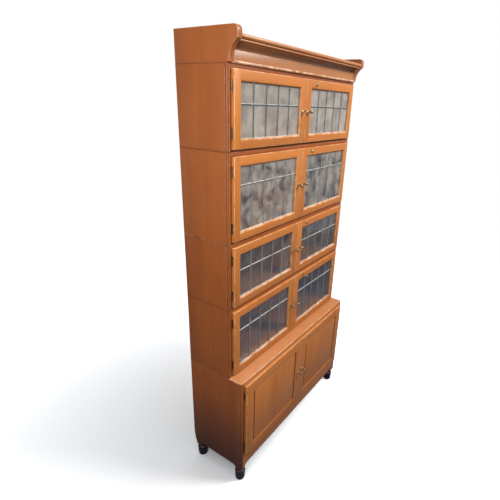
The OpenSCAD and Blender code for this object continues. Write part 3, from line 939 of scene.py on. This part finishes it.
def add_cupboard_panel(side):
    """The panel of a cupboard door: a plate in the door's groove, with a raised field in front. The plate and
    the field's upright edges are darkened as painted shade.
    """
    body = body_name("base", side)
    low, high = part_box(f"base_{side}_panel")
    x0, x1, z0, z1 = opening("base", side)
    tone = bar_tones("base panel", side)[0]
    plate_y = high.y - PANEL_T
    bm = bmesh.new()
    grain_layers(bm)
    add_board(bm, (low.x, plate_y, low.z), high, Z_AXIS, MARGIN_SHADE_TONE, 0.5 * MM)
    field_low = (x0 + PANEL_MARGIN, low.y, z0 + PANEL_MARGIN)
    field_high = (x1 - PANEL_MARGIN, plate_y + 1 * MM, z1 - PANEL_MARGIN)
    add_board(bm, field_low, field_high, Z_AXIS, tone, 1.1 * MM, amount=0.2)
    # painted shade on the field's upright edges, as in the sunk margin
    touch_up(bm, TONE, MARGIN_SHADE_TONE, lambda f: abs(f.normal.x) > 0.7 and x0 < middle(f).x < x1)
    add_piece(f"base_{side}_door_panel", bm, "door", body, [f"base_{side}_panel"])


def came_section(props):
    """Section of a came as a loop of edges: two domed faces joined by a thin heart."""
    half_w, half_h, inner = props.came_width / 2, props.heart / 2, props.glass / 2
    dome = arc((0, 0), 1.0, 0, 180, 6)
    dome = [(half_w * x, inner + props.flange * (0.35 + 0.65 * y)) for x, y in dome]
    front = [(half_h, inner), (half_w, inner)] + dome + [(-half_w, inner), (-half_h, inner)]
    points = front + [(-x, -y) for x, y in front]
    mesh = bpy.data.meshes.new("came_section")
    edges = [(i, (i + 1) % len(points)) for i in range(len(points))]
    mesh.from_pydata([(x, y, 0) for x, y in points], edges, [])
    return mesh


def set_faces(mesh, name, values):
    """Gives each face of a mesh a number."""
    mesh.attributes.new(name, "FLOAT", "FACE").data.foreach_set("value", values)


def pane_mesh(thickness):
    """A pane one metre wide and high, which the tree brings to size."""
    bm = bmesh.new()
    add_box(bm, (-0.5, -thickness / 2, -0.5), (0.5, thickness / 2, 0.5))
    return to_mesh("pane", bm)


DUST_AND_REFLECTION = {  # thickness of the film on a section's panes, and how patchy it is; the film is dust, and on the top section also a painted reflection of a bright room
    "section_1": (0.25, 0.32),
    "section_2": (0.14, 0.9),
    "section_3": (0.05, 0.5),
    "section_4": (0.03, 0.5),
}
LAP = 1.0 * MM  # how far the leaded light reaches past the sight opening on each side


def add_leaded_light(unit, side, props):
    """The panes and the lead of one door."""
    body = body_name(unit, side)
    x0, x1, z0, z1 = opening(unit, side)
    x0, x1, z0, z1 = x0 - LAP, x1 + LAP, z0 - LAP, z1 + LAP
    y = door_box(unit, side)[0].y + GLASS_Y + BAR_GAP + props.glass / 2
    place = Matrix.Translation((x0, y, z0))
    values = {
        "Width": x1 - x0,
        "Height": z1 - z0,
        "Columns": props.columns,
        "Upper Row": props.upper_row,
        "Seed": props.seed + 10 * DOORS.index((unit, side)),
        "Heart": props.heart,
        "Tilt": props.tilt,
        "Material": finish_of("glass"),
    }
    panes = grow(tree_of("panes"), pane_mesh(props.glass), values, place)
    chance = random.Random(f"{unit} {side} dust")
    # the film is real dust; its thickness on the top section also stands as a painted reflection of a bright
    # room
    thickness, patchiness = DUST_AND_REFLECTION[unit]
    films = [thickness * chance.uniform(0.85, 1.15) for _ in range(2 * props.columns)]
    faces = len(panes.polygons)
    set_faces(panes, "dust", [films[face // 6] for face in range(faces)])
    set_faces(panes, "patchy", [patchiness] * faces)
    add_mesh_piece(f"{unit}_{side}_panes", panes, None, body, [f"{unit}_{side}_glass"])
    values["Material"] = finish_of("black_lead" if unit == "section_1" else "lead")
    values["Solder Radius"] = props.came_width * 0.66
    values["Solder Rise"] = props.glass / 2 + props.flange * 1.12
    cames = grow(tree_of("cames"), came_section(props), values, place)
    add_mesh_piece(f"{unit}_{side}_leading", cames, None, body, [f"{unit}_{side}_cames"], 50.0)


# ---- Fittings ----


def knob_profile(ball, out):
    """Profile of a ball knob, from the tip to the door: ball, neck, collar and rosette."""
    centre, neck = out - ball, 2.4 * MM
    low = centre - ball
    points = [(0.0, out)] + arc((0, centre), ball, 90, -math.degrees(math.acos(neck / ball)), 14)[1:]
    points += [(neck, low + 1.2 * MM), (3.4 * MM, low + 0.2 * MM), (neck, low - 0.9 * MM)]
    return points + mm((2.6, 3.4), (3.6, 2.4), (3.8, 1.9), (5.2, 1.5), (5.9, 1), (6, 0.3), (6, 0), (0, 0))


def hinge_places(unit):
    """Heights of the middles of a door's two hinges."""
    low, high = door_box(unit, "left")
    return [low.z + HINGE_INSET, high.z - HINGE_INSET]


def pin_place(unit, side):
    """X and Y of a door's hinge pin."""
    place = JOINTS[f"{unit}_{side}_door_hinge"]["pos_m"]
    return place[0], place[1]


KNUCKLE_R = 2.1 * MM
KNUCKLE_GAP = 0.3 * MM
DOOR_BORE = 1.05 * MM
CASE_BORE = 0.9 * MM
LEAF_T = 1.2 * MM
LEAF_CLEAR = 2.4 * MM  # from the pin to where the full leaf begins
HINGE_GAP = 4.5 * MM  # between the faces of the two leaves
CASE_LEAF = 20 * MM  # how far the case's leaf reaches back from the pin
DOOR_LEAF = 11 * MM


def knuckle_profile(height, bore):
    """Section of one knuckle, closed round its bore, with rounded rims."""
    rim = 0.35 * MM
    return mirrored([(bore, 0), (KNUCKLE_R - rim, 0), (KNUCKLE_R, rim)], height)


def inward_of(side):
    """The direction along X from a door's hinges to its free edge."""
    return 1 if side == "left" else -1


def add_leaf(bm, x0, x1, y0, y1, z0, z1):
    """One leaf of a hinge, with its corners rounded."""
    faces = add_box(bm, (min(x0, x1), y0, z0), (max(x0, x1), y1, z1))[1]
    ends = [
        e for e in edges_of(faces)
        if abs(e.verts[0].co.x - e.verts[1].co.x) > LEAF_T * 0.5 and e.verts[0].co.y > (y0 + y1) / 2
    ]
    ease_edges(bm, ends, 2 * MM, 3)


def add_hinges(unit, side):
    """The two hinges of a door: the door's leaves and the case's leaves, each with its knuckles."""
    pin_x, pin_y = pin_place(unit, side)
    inward = inward_of(side)
    third = HINGE_H / 3
    pin = mirrored(mm((0, -0.7), (0.8, -0.5), (1.3, 0), (1, 0)), HINGE_H)
    door, case = bmesh.new(), bmesh.new()

    def leaf(bm, facing, y0, y1, z0, z1):
        face = pin_x + facing * HINGE_GAP / 2
        add_leaf(bm, face - facing * LEAF_T, face, pin_y + y0, pin_y + y1, z0, z1)

    def knuckle(bm, facing, z0, z1, bore):
        leaf(bm, facing, KNUCKLE_R * 0.8, LEAF_CLEAR, z0, z1)
        add_turning(bm, knuckle_profile(z1 - z0, bore), (pin_x, pin_y, z0), Z_AXIS, 24, True)

    for z in hinge_places(unit):
        z0 = z - HINGE_H / 2
        leaf(door, inward, LEAF_CLEAR, DOOR_LEAF, z0, z0 + HINGE_H)
        knuckle(door, inward, z0 + third + KNUCKLE_GAP, z0 + 2 * third - KNUCKLE_GAP, DOOR_BORE)
        leaf(case, -inward, LEAF_CLEAR, CASE_LEAF, z0, z0 + HINGE_H)
        for low in (z0, z0 + 2 * third):
            knuckle(case, -inward, low, low + third, CASE_BORE)
        add_turning(case, pin, (pin_x, pin_y, z0), Z_AXIS, 16)
    add_piece(f"{unit}_{side}_door_leaves", door, "hinge", body_name(unit, side))
    add_piece(f"{unit}_{side}_case_leaves", case, "hinge", "root")


def add_hinge_screws(unit, side, radius):
    """Three screws in each case leaf and two in each door leaf."""
    pin_x, pin_y = pin_place(unit, side)
    low, high = hinge_places(unit)
    seed = len(unit) + (3 if side == "left" else 5)
    inward = inward_of(side)
    case_reach = (LEAF_CLEAR + CASE_LEAF) / 2 + 1 * MM
    door_reach = (LEAF_CLEAR + DOOR_LEAF) / 2 + 0.5 * MM
    for kind, body, facing, count, step, reach in (
        ("case", "root", inward, 3, 12 * MM, case_reach),
        ("door", body_name(unit, side), -inward, 2, 18 * MM, door_reach),
    ):
        x = pin_x - facing * (HINGE_GAP / 2 - LEAF_T + 0.3 * MM)
        first = (x, pin_y + reach, low - step * (count - 1) / 2)
        steps = (count, (0, 0, step), (0, 0, high - low))
        add_screws(f"{unit}_{side}_{kind}_screws", body, radius, (facing, 0, 0), first, *steps, seed)


def add_knob(unit, side, ball):
    """A turned ball knob at the free edge of a door."""
    low, high = door_box(unit, side)
    name = f"{unit}_{side}"
    out = low.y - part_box(f"{name}_fittings")[0].y
    x = high.x - KNOB_INSET if side == "left" else low.x + KNOB_INSET
    bm = bmesh.new()
    add_turning(bm, knob_profile(ball, out), (x, low.y, (low.z + high.z) / 2), -Y_AXIS, 40)
    add_piece(f"{name}_knob", bm, "brass", body_name(unit, side), [f"{name}_fittings"], 50.0)


CAM_Y = 22.4 * MM  # from the door's front to the front of the cam
CAM_T = 2 * MM
BOW_R = 6 * MM  # radius of the ring that a key is held by
KEY_REACH = 10 * MM  # a lock that stands out further than this has its key in it


def add_key(bm, centre, reach):
    """A key with a ring for a bow."""
    bow = centre - Y_AXIS * (reach - BOW_R)
    rim = mirrored(mm((3.2, -0.6), (3.6, -0.9), (5.6, -0.9), (6, -0.5)))
    add_turning(bm, rim, bow, Z_AXIS, 32, True)
    end = reach - 2 * BOW_R + 1.5 * MM
    shaft = mm((0, 0), (1.6, 0), (1.6, 6), (2.3, 6.6), (2.3, 7.6), (1.5, 8.2)) + [(1.3 * MM, end), (0, end)]
    add_turning(bm, shaft, centre, -Y_AXIS, 20)


def add_lock(unit):
    """A lock on a right-hand door: its escutcheon, the plug with its cam, and in two of them a key."""
    low, high = door_box(unit, "right")
    centre = Vector((LOCK_X, low.y, high.z - LOCK_DROP))
    ring = mm((5.1, 0), (7.5, 0), (7.5, 0.8), (7.1, 1.7), (6.3, 2.6), (5.7, 3), (5.1, 2.8))
    bm = bmesh.new()
    add_turning(bm, ring, centre, -Y_AXIS, 40, True)
    add_piece(f"{unit}_escutcheon", bm, "brass", body_name(unit, "right"), smooth=50.0)

    bm = bmesh.new()
    end = -CAM_Y - CAM_T
    add_turning(bm, [(0, 0), (5 * MM, 0), (5 * MM, end), (0, end)], centre, -Y_AXIS, 32)
    add_slotted_disc(bm, centre, -Y_AXIS, 4.8 * MM, 4 * MM, 1.3 * MM, 2.2 * MM, 12)
    cam_low = centre + Vector((-14 * MM, CAM_Y, -3.5 * MM))
    cam_high = centre + Vector((-3 * MM, CAM_Y + CAM_T, 3.5 * MM))
    tip = [
        e for e in edges_of(add_box(bm, cam_low, cam_high)[1])
        if abs(e.verts[0].co.y - e.verts[1].co.y) > CAM_T / 2 and e.verts[0].co.x < centre.x - 10 * MM
    ]
    ease_edges(bm, tip, 3 * MM, 4)
    reach = low.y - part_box(f"{unit}_lock")[0].y
    if reach > KEY_REACH:
        add_key(bm, centre, reach)
    add_piece(f"{unit}_lock_plug_and_cam", bm, "key", f"{unit}_lock_plug", [f"{unit}_lock"])


def add_keepers():
    """The angle plates under the boards that the cams of the locks turn up behind."""
    bm = bmesh.new()
    section = mm((0, -10), (0, -1.2), (0.5, -0.3), (1.2, 0), (12, 0), (12, -1.2), (1.2, -1.2), (1.2, -10))
    for unit, side in DOORS:
        if side == "right":
            high = door_box(unit, side)[1]
            y0, z1 = high.y + 0.6 * MM, high.z + 1.2 * MM
            ends = (LOCK_X - 9 * MM, LOCK_X + 9 * MM)
            add_shell(bm, [[Vector((x, y0 + y, z1 + z)) for y, z in section] for x in ends])
    add_piece("lock_keepers", bm, "hinge", "root", ["case_fittings"])


# ---- Carcase ----

SCREW_GAP = 140 * MM  # spacing of the screws along the back panels
LEDGE_LAP = 4 * MM  # thickness of the ledge's nosing, which runs over the side panels
SEAM = 3 * MM  # height of the band along the end of an upright that another section rubs
SEAM_WEAR = {1: (0, 0), 2: (0.30, 0), 3: (0, 0.30), 4: (0, 0.05)}  # at the bottom and the top
POLISH_AND_SHADE_TONE = -5.0  # old polish in the arrises at the section seams, and painted shade in the moulding's hollow
SHADED_TONE = -7.0  # painted shade on the section bottoms behind the glass
# painted light: the ledge is lightened all over, as though lit from above
LEDGE_PAINTED_LIGHT = 2.5
FRIEZE_TONE = -3.0
FRIEZE_DEPTH = 20 * MM  # the faces this near the front belong to the frieze
FRIEZE_BEAD = 8 * MM  # height of the lower bead above the bottom of the frieze
FRIEZE_RIM = 33.5 * MM  # height where its upper rim begins
HOLLOW_TOP = 20.2 * MM  # from the bottom of the moulding to the top of its hollow
SCREW_INSET = 9 * MM  # from the side edge of a back panel to its first screw
SCREW_MARGIN = 22 * MM  # from the end of a back panel to its row of screws


def add_section_sides(s, ease):
    """The side panels of a section, rubbed where it is lifted off its neighbours."""
    node = f"section_{s}_sides"
    low, high = (corner.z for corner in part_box(node))

    def cut(bm):
        for z in (low + SEAM, high - SEAM):
            slice_across(bm, (0, 0, z), Z_AXIS)

    def touch(bm):
        rub_ends(bm, low, high, SEAM_WEAR[s])

    eased_copy(node, f"section_{s}_side_panels", "case", Z_AXIS, ease, cut, touch)


def add_section_bottoms(ease):
    """The section bottoms, with painted shade on top where they lie behind the glass."""

    def touch(bm):
        touch_up(bm, TONE, SHADED_TONE, lambda f: f.normal.z > 0.9)

    eased_copy("section_bottom_boards", "section_bottoms", "door", X_AXIS, ease, touch=touch)


def add_brackets(ease):
    """The shaped brackets, which meet the section below without the pale rubbed edge that is also a painted
    highlight.
    """
    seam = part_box("cornice_brackets")[0].z + SEAM

    def cut(bm):
        slice_across(bm, (0, 0, seam), Z_AXIS)

    def touch(bm):
        touch_up(bm, WORN_AND_HIGHLIT, 0.0, lambda f: middle(f).z < seam)

    eased_copy("cornice_brackets", "shaped_brackets", "case", Z_AXIS, ease, cut, touch)


def lower_front(bm):
    """Makes room under the ledge's nosing in front of the glazed sections."""
    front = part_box("section_4_sides")[0].y
    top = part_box("base_ledge")[1].z
    slice_across(bm, (0, front, 0), Y_AXIS)
    slice_across(bm, (0, front + 1 * MM, 0), Y_AXIS)
    for vert in bm.verts:
        if vert.co.z > top - 0.1 * MM and vert.co.y < front + 0.1 * MM:
            vert.co.z -= LEDGE_LAP + BAR_GAP


def add_ledge(ease):
    """The ledge, with its nosing over the front corners of the side panels, lightened all over as painted
    light from above.
    """
    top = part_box("base_ledge")[1].z
    case_low, case_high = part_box("base_sides")
    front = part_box("section_4_sides")[0].y

    def touch(bm):
        low = (case_low.x, case_low.y, top - LEDGE_LAP)
        high = (case_high.x, front - BAR_GAP, top)
        add_board(bm, low, high, X_AXIS, 0.0, 1.7 * MM, [(0, 1, 0)])
        # painted light on the whole ledge
        touch_up(bm, TONE, LEDGE_PAINTED_LIGHT, lambda f: True)

    eased_copy("base_ledge", "ledge", "front", X_AXIS, ease, lower_front, touch)


def add_moulding(ease):
    """The cornice moulding, with painted shade darkening its hollow."""
    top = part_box("cornice_moulding")[0].z + HOLLOW_TOP

    def touch(bm):
        # painted shade in the hollow under the cap
        touch_up(bm, TONE, POLISH_AND_SHADE_TONE, lambda f: middle(f).z < top)

    eased_copy("cornice_moulding", "moulding", "front", X_AXIS, ease, touch=touch)


def add_frieze(ease):
    """The frieze with its beads rubbed pale, which is also a painted highlight on them, the dust board and
    the back rail.
    """
    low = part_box("cornice_boards")[0]
    bead, rim = low.z + FRIEZE_BEAD, low.z + FRIEZE_RIM

    def touch(bm):
        def in_front(f):
            return middle(f).y < low.y + FRIEZE_DEPTH

        touch_up(bm, TONE, FRIEZE_TONE, in_front)
        touch_up(bm, WORN_AND_HIGHLIT, 0.8, lambda f: in_front(f) and middle(f).z < bead)
        touch_up(bm, WORN_AND_HIGHLIT, 0.5, lambda f: in_front(f) and middle(f).z > rim)

    eased_copy("cornice_boards", "frieze_and_boards", "front", X_AXIS, ease, touch=touch)


def add_back_screws(radius):
    """Rows of screws along the top and the bottom of each back panel."""
    low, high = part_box("back_panels")
    wide = high.x - low.x - 2 * SCREW_INSET
    across = round(wide / SCREW_GAP)
    for index, node in enumerate([f"section_{s}_sides" for s in SECTIONS] + ["base_sides"]):
        below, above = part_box(node)
        bottom = max(below.z, low.z) + SCREW_MARGIN
        first = (low.x + SCREW_INSET, high.y - 0.75 * MM, bottom)
        steps = (across + 1, (wide / across, 0, 0), (0, 0, above.z - SCREW_MARGIN - bottom))
        add_screws(f"back_screws_{index + 1}", "root", radius, (0, 1, 0), first, *steps, index)


def foot_profile(radius, height):
    """Profile of a turned foot: toe, tapering body, shoulder bead, and a neck into the leg."""
    toe, rim, core, steps = 6 * MM, 8 * MM, 14 * MM, 8
    shoulder = height - core - rim
    start, top = core + toe, shoulder - 2 * MM
    points = [(0, 0), (core, 0)] + arc((core, toe), toe, -80, 0, 5)
    for i in range(1, steps):
        t = i / steps
        belly = 0.5 * MM * math.sin(math.pi * t)
        points.append((start + (radius - 0.6 * MM - start) * t + belly, toe + (top - toe) * t))
    points += [(radius - 1.2 * MM, top), (radius - 1.4 * MM, shoulder - 0.8 * MM)]
    points += arc((radius - rim, shoulder), rim, 0, 84, 9)
    points += [(core, shoulder + rim), (13.2 * MM, shoulder + rim + 2 * MM), (core, height - 6 * MM)]
    return points + [(core, height), (0, height)]


def add_feet():
    """The four turned feet."""
    low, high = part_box("feet")
    radius = 23 * MM
    bm = bmesh.new()
    grain_layers(bm)
    chance = random.Random("feet")
    for x in (low.x + radius, high.x - radius):
        for y in (low.y + radius, high.y - radius):
            faces = add_turning(bm, foot_profile(radius, high.z), (x, y, 0), Z_AXIS, 48)
            mark_grain(bm, faces, Z_AXIS, chance.uniform(-1, 1))
    add_piece("turned_feet", bm, "foot", "root", ["feet"], 40.0)


# ---- Stage ----

LIGHTS = {  # where each light stands, what it looks at, and how wide it is
    "key": ((0.8, -1.7, 2.7), (0, -0.1, 1.0), 1.0),
    "overhead": ((0, 0, 5.0), (0, 0, 0), 7.0),
    "fill": ((-1.5, -0.4, 1.6), (-0.4, 0, 1.4), 0.8),
}


def add_floor(props):
    """The round floor, which isn't part of the bookcase."""
    bm = bmesh.new()
    bmesh.ops.create_circle(bm, cap_ends=True, segments=96, radius=props.floor_radius)
    mesh = to_mesh("floor", bm)
    mesh.materials.append(floor_finish(props))
    add_object("floor", mesh)


def surround_world(props):
    """Even soft light from all round, which shows white behind the bookcase."""
    world = bpy.data.worlds.new("surround")
    world.use_nodes = True
    tree = Tree(world.node_tree)
    path = tree.add("ShaderNodeLightPath").outputs
    dim, shown = ([c * strength for c in props.room] for strength in (props.surround, props.reflected))
    light = tree.blend(path["Is Glossy Ray"], rgba(dim), rgba(shown))
    sky = world.node_tree.nodes["Background"].inputs["Color"]
    tree.set(sky, tree.blend(path["Is Camera Ray"], light, (1, 1, 1, 1)))
    return world


def add_area_light(name, place, target, size, energy):
    lamp = bpy.data.lights.new(name, "AREA")
    lamp.shape = "DISK"
    lamp.size = size
    lamp.energy = energy
    light = add_object(name, lamp)
    light.location = place
    light.rotation_euler = (Vector(target) - Vector(place)).to_track_quat("-Z", "Y").to_euler()


def add_camera(props):
    """The camera, from its place, azimuth, elevation and roll."""
    data = bpy.data.cameras.new("camera")
    data.lens = props.lens
    data.sensor_width = 36
    data.shift_x, data.shift_y = props.shift
    camera = add_object("camera", data)
    sin_a, cos_a = math.sin(props.azimuth), math.cos(props.azimuth)
    sin_e, cos_e = math.sin(props.elevation), math.cos(props.elevation)
    forward = Vector((sin_a * cos_e, cos_a * cos_e, sin_e))
    level = Vector((cos_a, -sin_a, 0))
    upright = level.cross(forward)
    right = level * math.cos(props.roll) + upright * math.sin(props.roll)
    up = upright * math.cos(props.roll) - level * math.sin(props.roll)
    turn = Matrix((right, up, -forward)).transposed().to_4x4()
    camera.matrix_world = Matrix.Translation(props.camera_place) @ turn
    bpy.context.scene.camera = camera


# ---- Operators ----


class BOOKCASE_OT_stage(bpy.types.Operator):
    """Add the camera, the pale floor and the soft lights"""

    bl_idname = "bookcase.stage"
    bl_label = "Stage"

    def execute(self, context):
        props = context.scene.bookcase_stage
        add_camera(props)
        add_floor(props)
        context.scene.world = surround_world(props)
        context.scene.view_settings.view_transform = "Standard"
        for name, (place, target, size) in LIGHTS.items():
            add_area_light(name, place, target, size, getattr(props, name))
        return {"FINISHED"}


class BOOKCASE_OT_sides(bpy.types.Operator):
    """Add the side panels of the sections and of the base"""

    bl_idname = "bookcase.sides"
    bl_label = "Side panels"

    def execute(self, context):
        ease = context.scene.bookcase_wood.ease
        for s in SECTIONS:
            add_section_sides(s, ease)
        eased_copy("base_sides", "base_side_panels", "case", Z_AXIS, ease, lower_front)
        return {"FINISHED"}


class BOOKCASE_OT_boards(bpy.types.Operator):
    """Add the boards, the ledge, the deck, the front rail and the back panels"""

    bl_idname = "bookcase.boards"
    bl_label = "Boards and backs"

    def execute(self, context):
        ease = context.scene.bookcase_wood.ease
        eased_copy("section_top_boards", "section_tops", "case", X_AXIS, 1.6 * MM)
        add_section_bottoms(ease)
        add_ledge(ease)
        eased_copy("base_deck", "deck", "case", X_AXIS, ease)
        eased_copy("base_front_rail", "front_rail", "door", X_AXIS, 1.6 * MM)
        eased_copy("back_panels", "backs", "back", Z_AXIS, 0.6 * MM)
        eased_copy("section_pegs", "locating_pegs", "front", Z_AXIS, 0.8 * MM)
        add_back_screws(context.scene.bookcase_metal.screw_head)
        return {"FINISHED"}


class BOOKCASE_OT_cornice(bpy.types.Operator):
    """Add the cornice brackets, the moulding and the boards behind it"""

    bl_idname = "bookcase.cornice"
    bl_label = "Cornice"

    def execute(self, context):
        ease = context.scene.bookcase_wood.ease
        add_brackets(ease)
        add_moulding(0.5 * MM)
        add_frieze(1.1 * MM)
        return {"FINISHED"}


class BOOKCASE_OT_feet(bpy.types.Operator):
    """Add the turned feet"""

    bl_idname = "bookcase.feet"
    bl_label = "Feet"

    def execute(self, context):
        add_feet()
        return {"FINISHED"}


class BOOKCASE_OT_door_frames(bpy.types.Operator):
    """Add the frames of all the doors"""

    bl_idname = "bookcase.door_frames"
    bl_label = "Door frames"

    def execute(self, context):
        for unit, side in DOORS:
            add_door_frame(unit, side)
        return {"FINISHED"}


class BOOKCASE_OT_cupboard_panels(bpy.types.Operator):
    """Add the raised panels of the cupboard doors"""

    bl_idname = "bookcase.cupboard_panels"
    bl_label = "Cupboard panels"

    def execute(self, context):
        for side in DOOR_SIDES:
            add_cupboard_panel(side)
        return {"FINISHED"}


class BOOKCASE_OT_leaded_lights(bpy.types.Operator):
    """Add the panes and the lead of the glazed doors"""

    bl_idname = "bookcase.leaded_lights"
    bl_label = "Leaded lights"

    def execute(self, context):
        for unit, side in DOORS:
            if unit != "base":
                add_leaded_light(unit, side, context.scene.bookcase_glazing)
        return {"FINISHED"}


class BOOKCASE_OT_hinges(bpy.types.Operator):
    """Add the hinges and their screws"""

    bl_idname = "bookcase.hinges"
    bl_label = "Hinges"

    def execute(self, context):
        for unit, side in DOORS:
            add_hinges(unit, side)
            add_hinge_screws(unit, side, context.scene.bookcase_metal.screw_head)
        return {"FINISHED"}


class BOOKCASE_OT_knobs(bpy.types.Operator):
    """Add the turned knobs"""

    bl_idname = "bookcase.knobs"
    bl_label = "Knobs"

    def execute(self, context):
        for unit, side in DOORS:
            add_knob(unit, side, context.scene.bookcase_metal.knob_ball)
        return {"FINISHED"}


class BOOKCASE_OT_locks(bpy.types.Operator):
    """Add the locks, their escutcheons, keys and keepers"""

    bl_idname = "bookcase.locks"
    bl_label = "Locks"

    def execute(self, context):
        for s in SECTIONS:
            add_lock(f"section_{s}")
        add_lock("base")
        add_keepers()
        return {"FINISHED"}


STEPS = (
    BOOKCASE_OT_stage,
    BOOKCASE_OT_sides,
    BOOKCASE_OT_boards,
    BOOKCASE_OT_cornice,
    BOOKCASE_OT_feet,
    BOOKCASE_OT_door_frames,
    BOOKCASE_OT_cupboard_panels,
    BOOKCASE_OT_leaded_lights,
    BOOKCASE_OT_hinges,
    BOOKCASE_OT_knobs,
    BOOKCASE_OT_locks,
)

GROUPS = {
    "bookcase_wood": BookcaseWood,
    "bookcase_glazing": BookcaseGlazing,
    "bookcase_metal": BookcaseMetal,
    "bookcase_stage": BookcaseStage,
}


class BOOKCASE_PT_panel(bpy.types.Panel):
    """Lists the steps that build the bookcase, and its sizes and colours"""

    bl_label = "Bookcase"
    bl_idname = "BOOKCASE_PT_panel"
    bl_space_type = "VIEW_3D"
    bl_region_type = "UI"
    bl_category = "Bookcase"

    def draw(self, context):
        layout = self.layout
        for step in STEPS:
            layout.operator(step.bl_idname)
        for name, group in GROUPS.items():
            box = layout.box()
            for prop in group.__annotations__:
                box.prop(getattr(context.scene, name), prop)


def register():
    for group in GROUPS.values():
        bpy.utils.register_class(group)
    for step in STEPS:
        bpy.utils.register_class(step)
    bpy.utils.register_class(BOOKCASE_PT_panel)
    for name, group in GROUPS.items():
        setattr(bpy.types.Scene, name, PointerProperty(type=group))


def unregister():
    for name in GROUPS:
        delattr(bpy.types.Scene, name)
    bpy.utils.unregister_class(BOOKCASE_PT_panel)
    for step in reversed(STEPS):
        bpy.utils.unregister_class(step)
    for group in reversed(list(GROUPS.values())):
        bpy.utils.unregister_class(group)


def main():
    register()
    for step in STEPS:
        category, name = step.bl_idname.split(".")
        getattr(getattr(bpy.ops, category), name)()


if __name__ == "__main__":
    main()
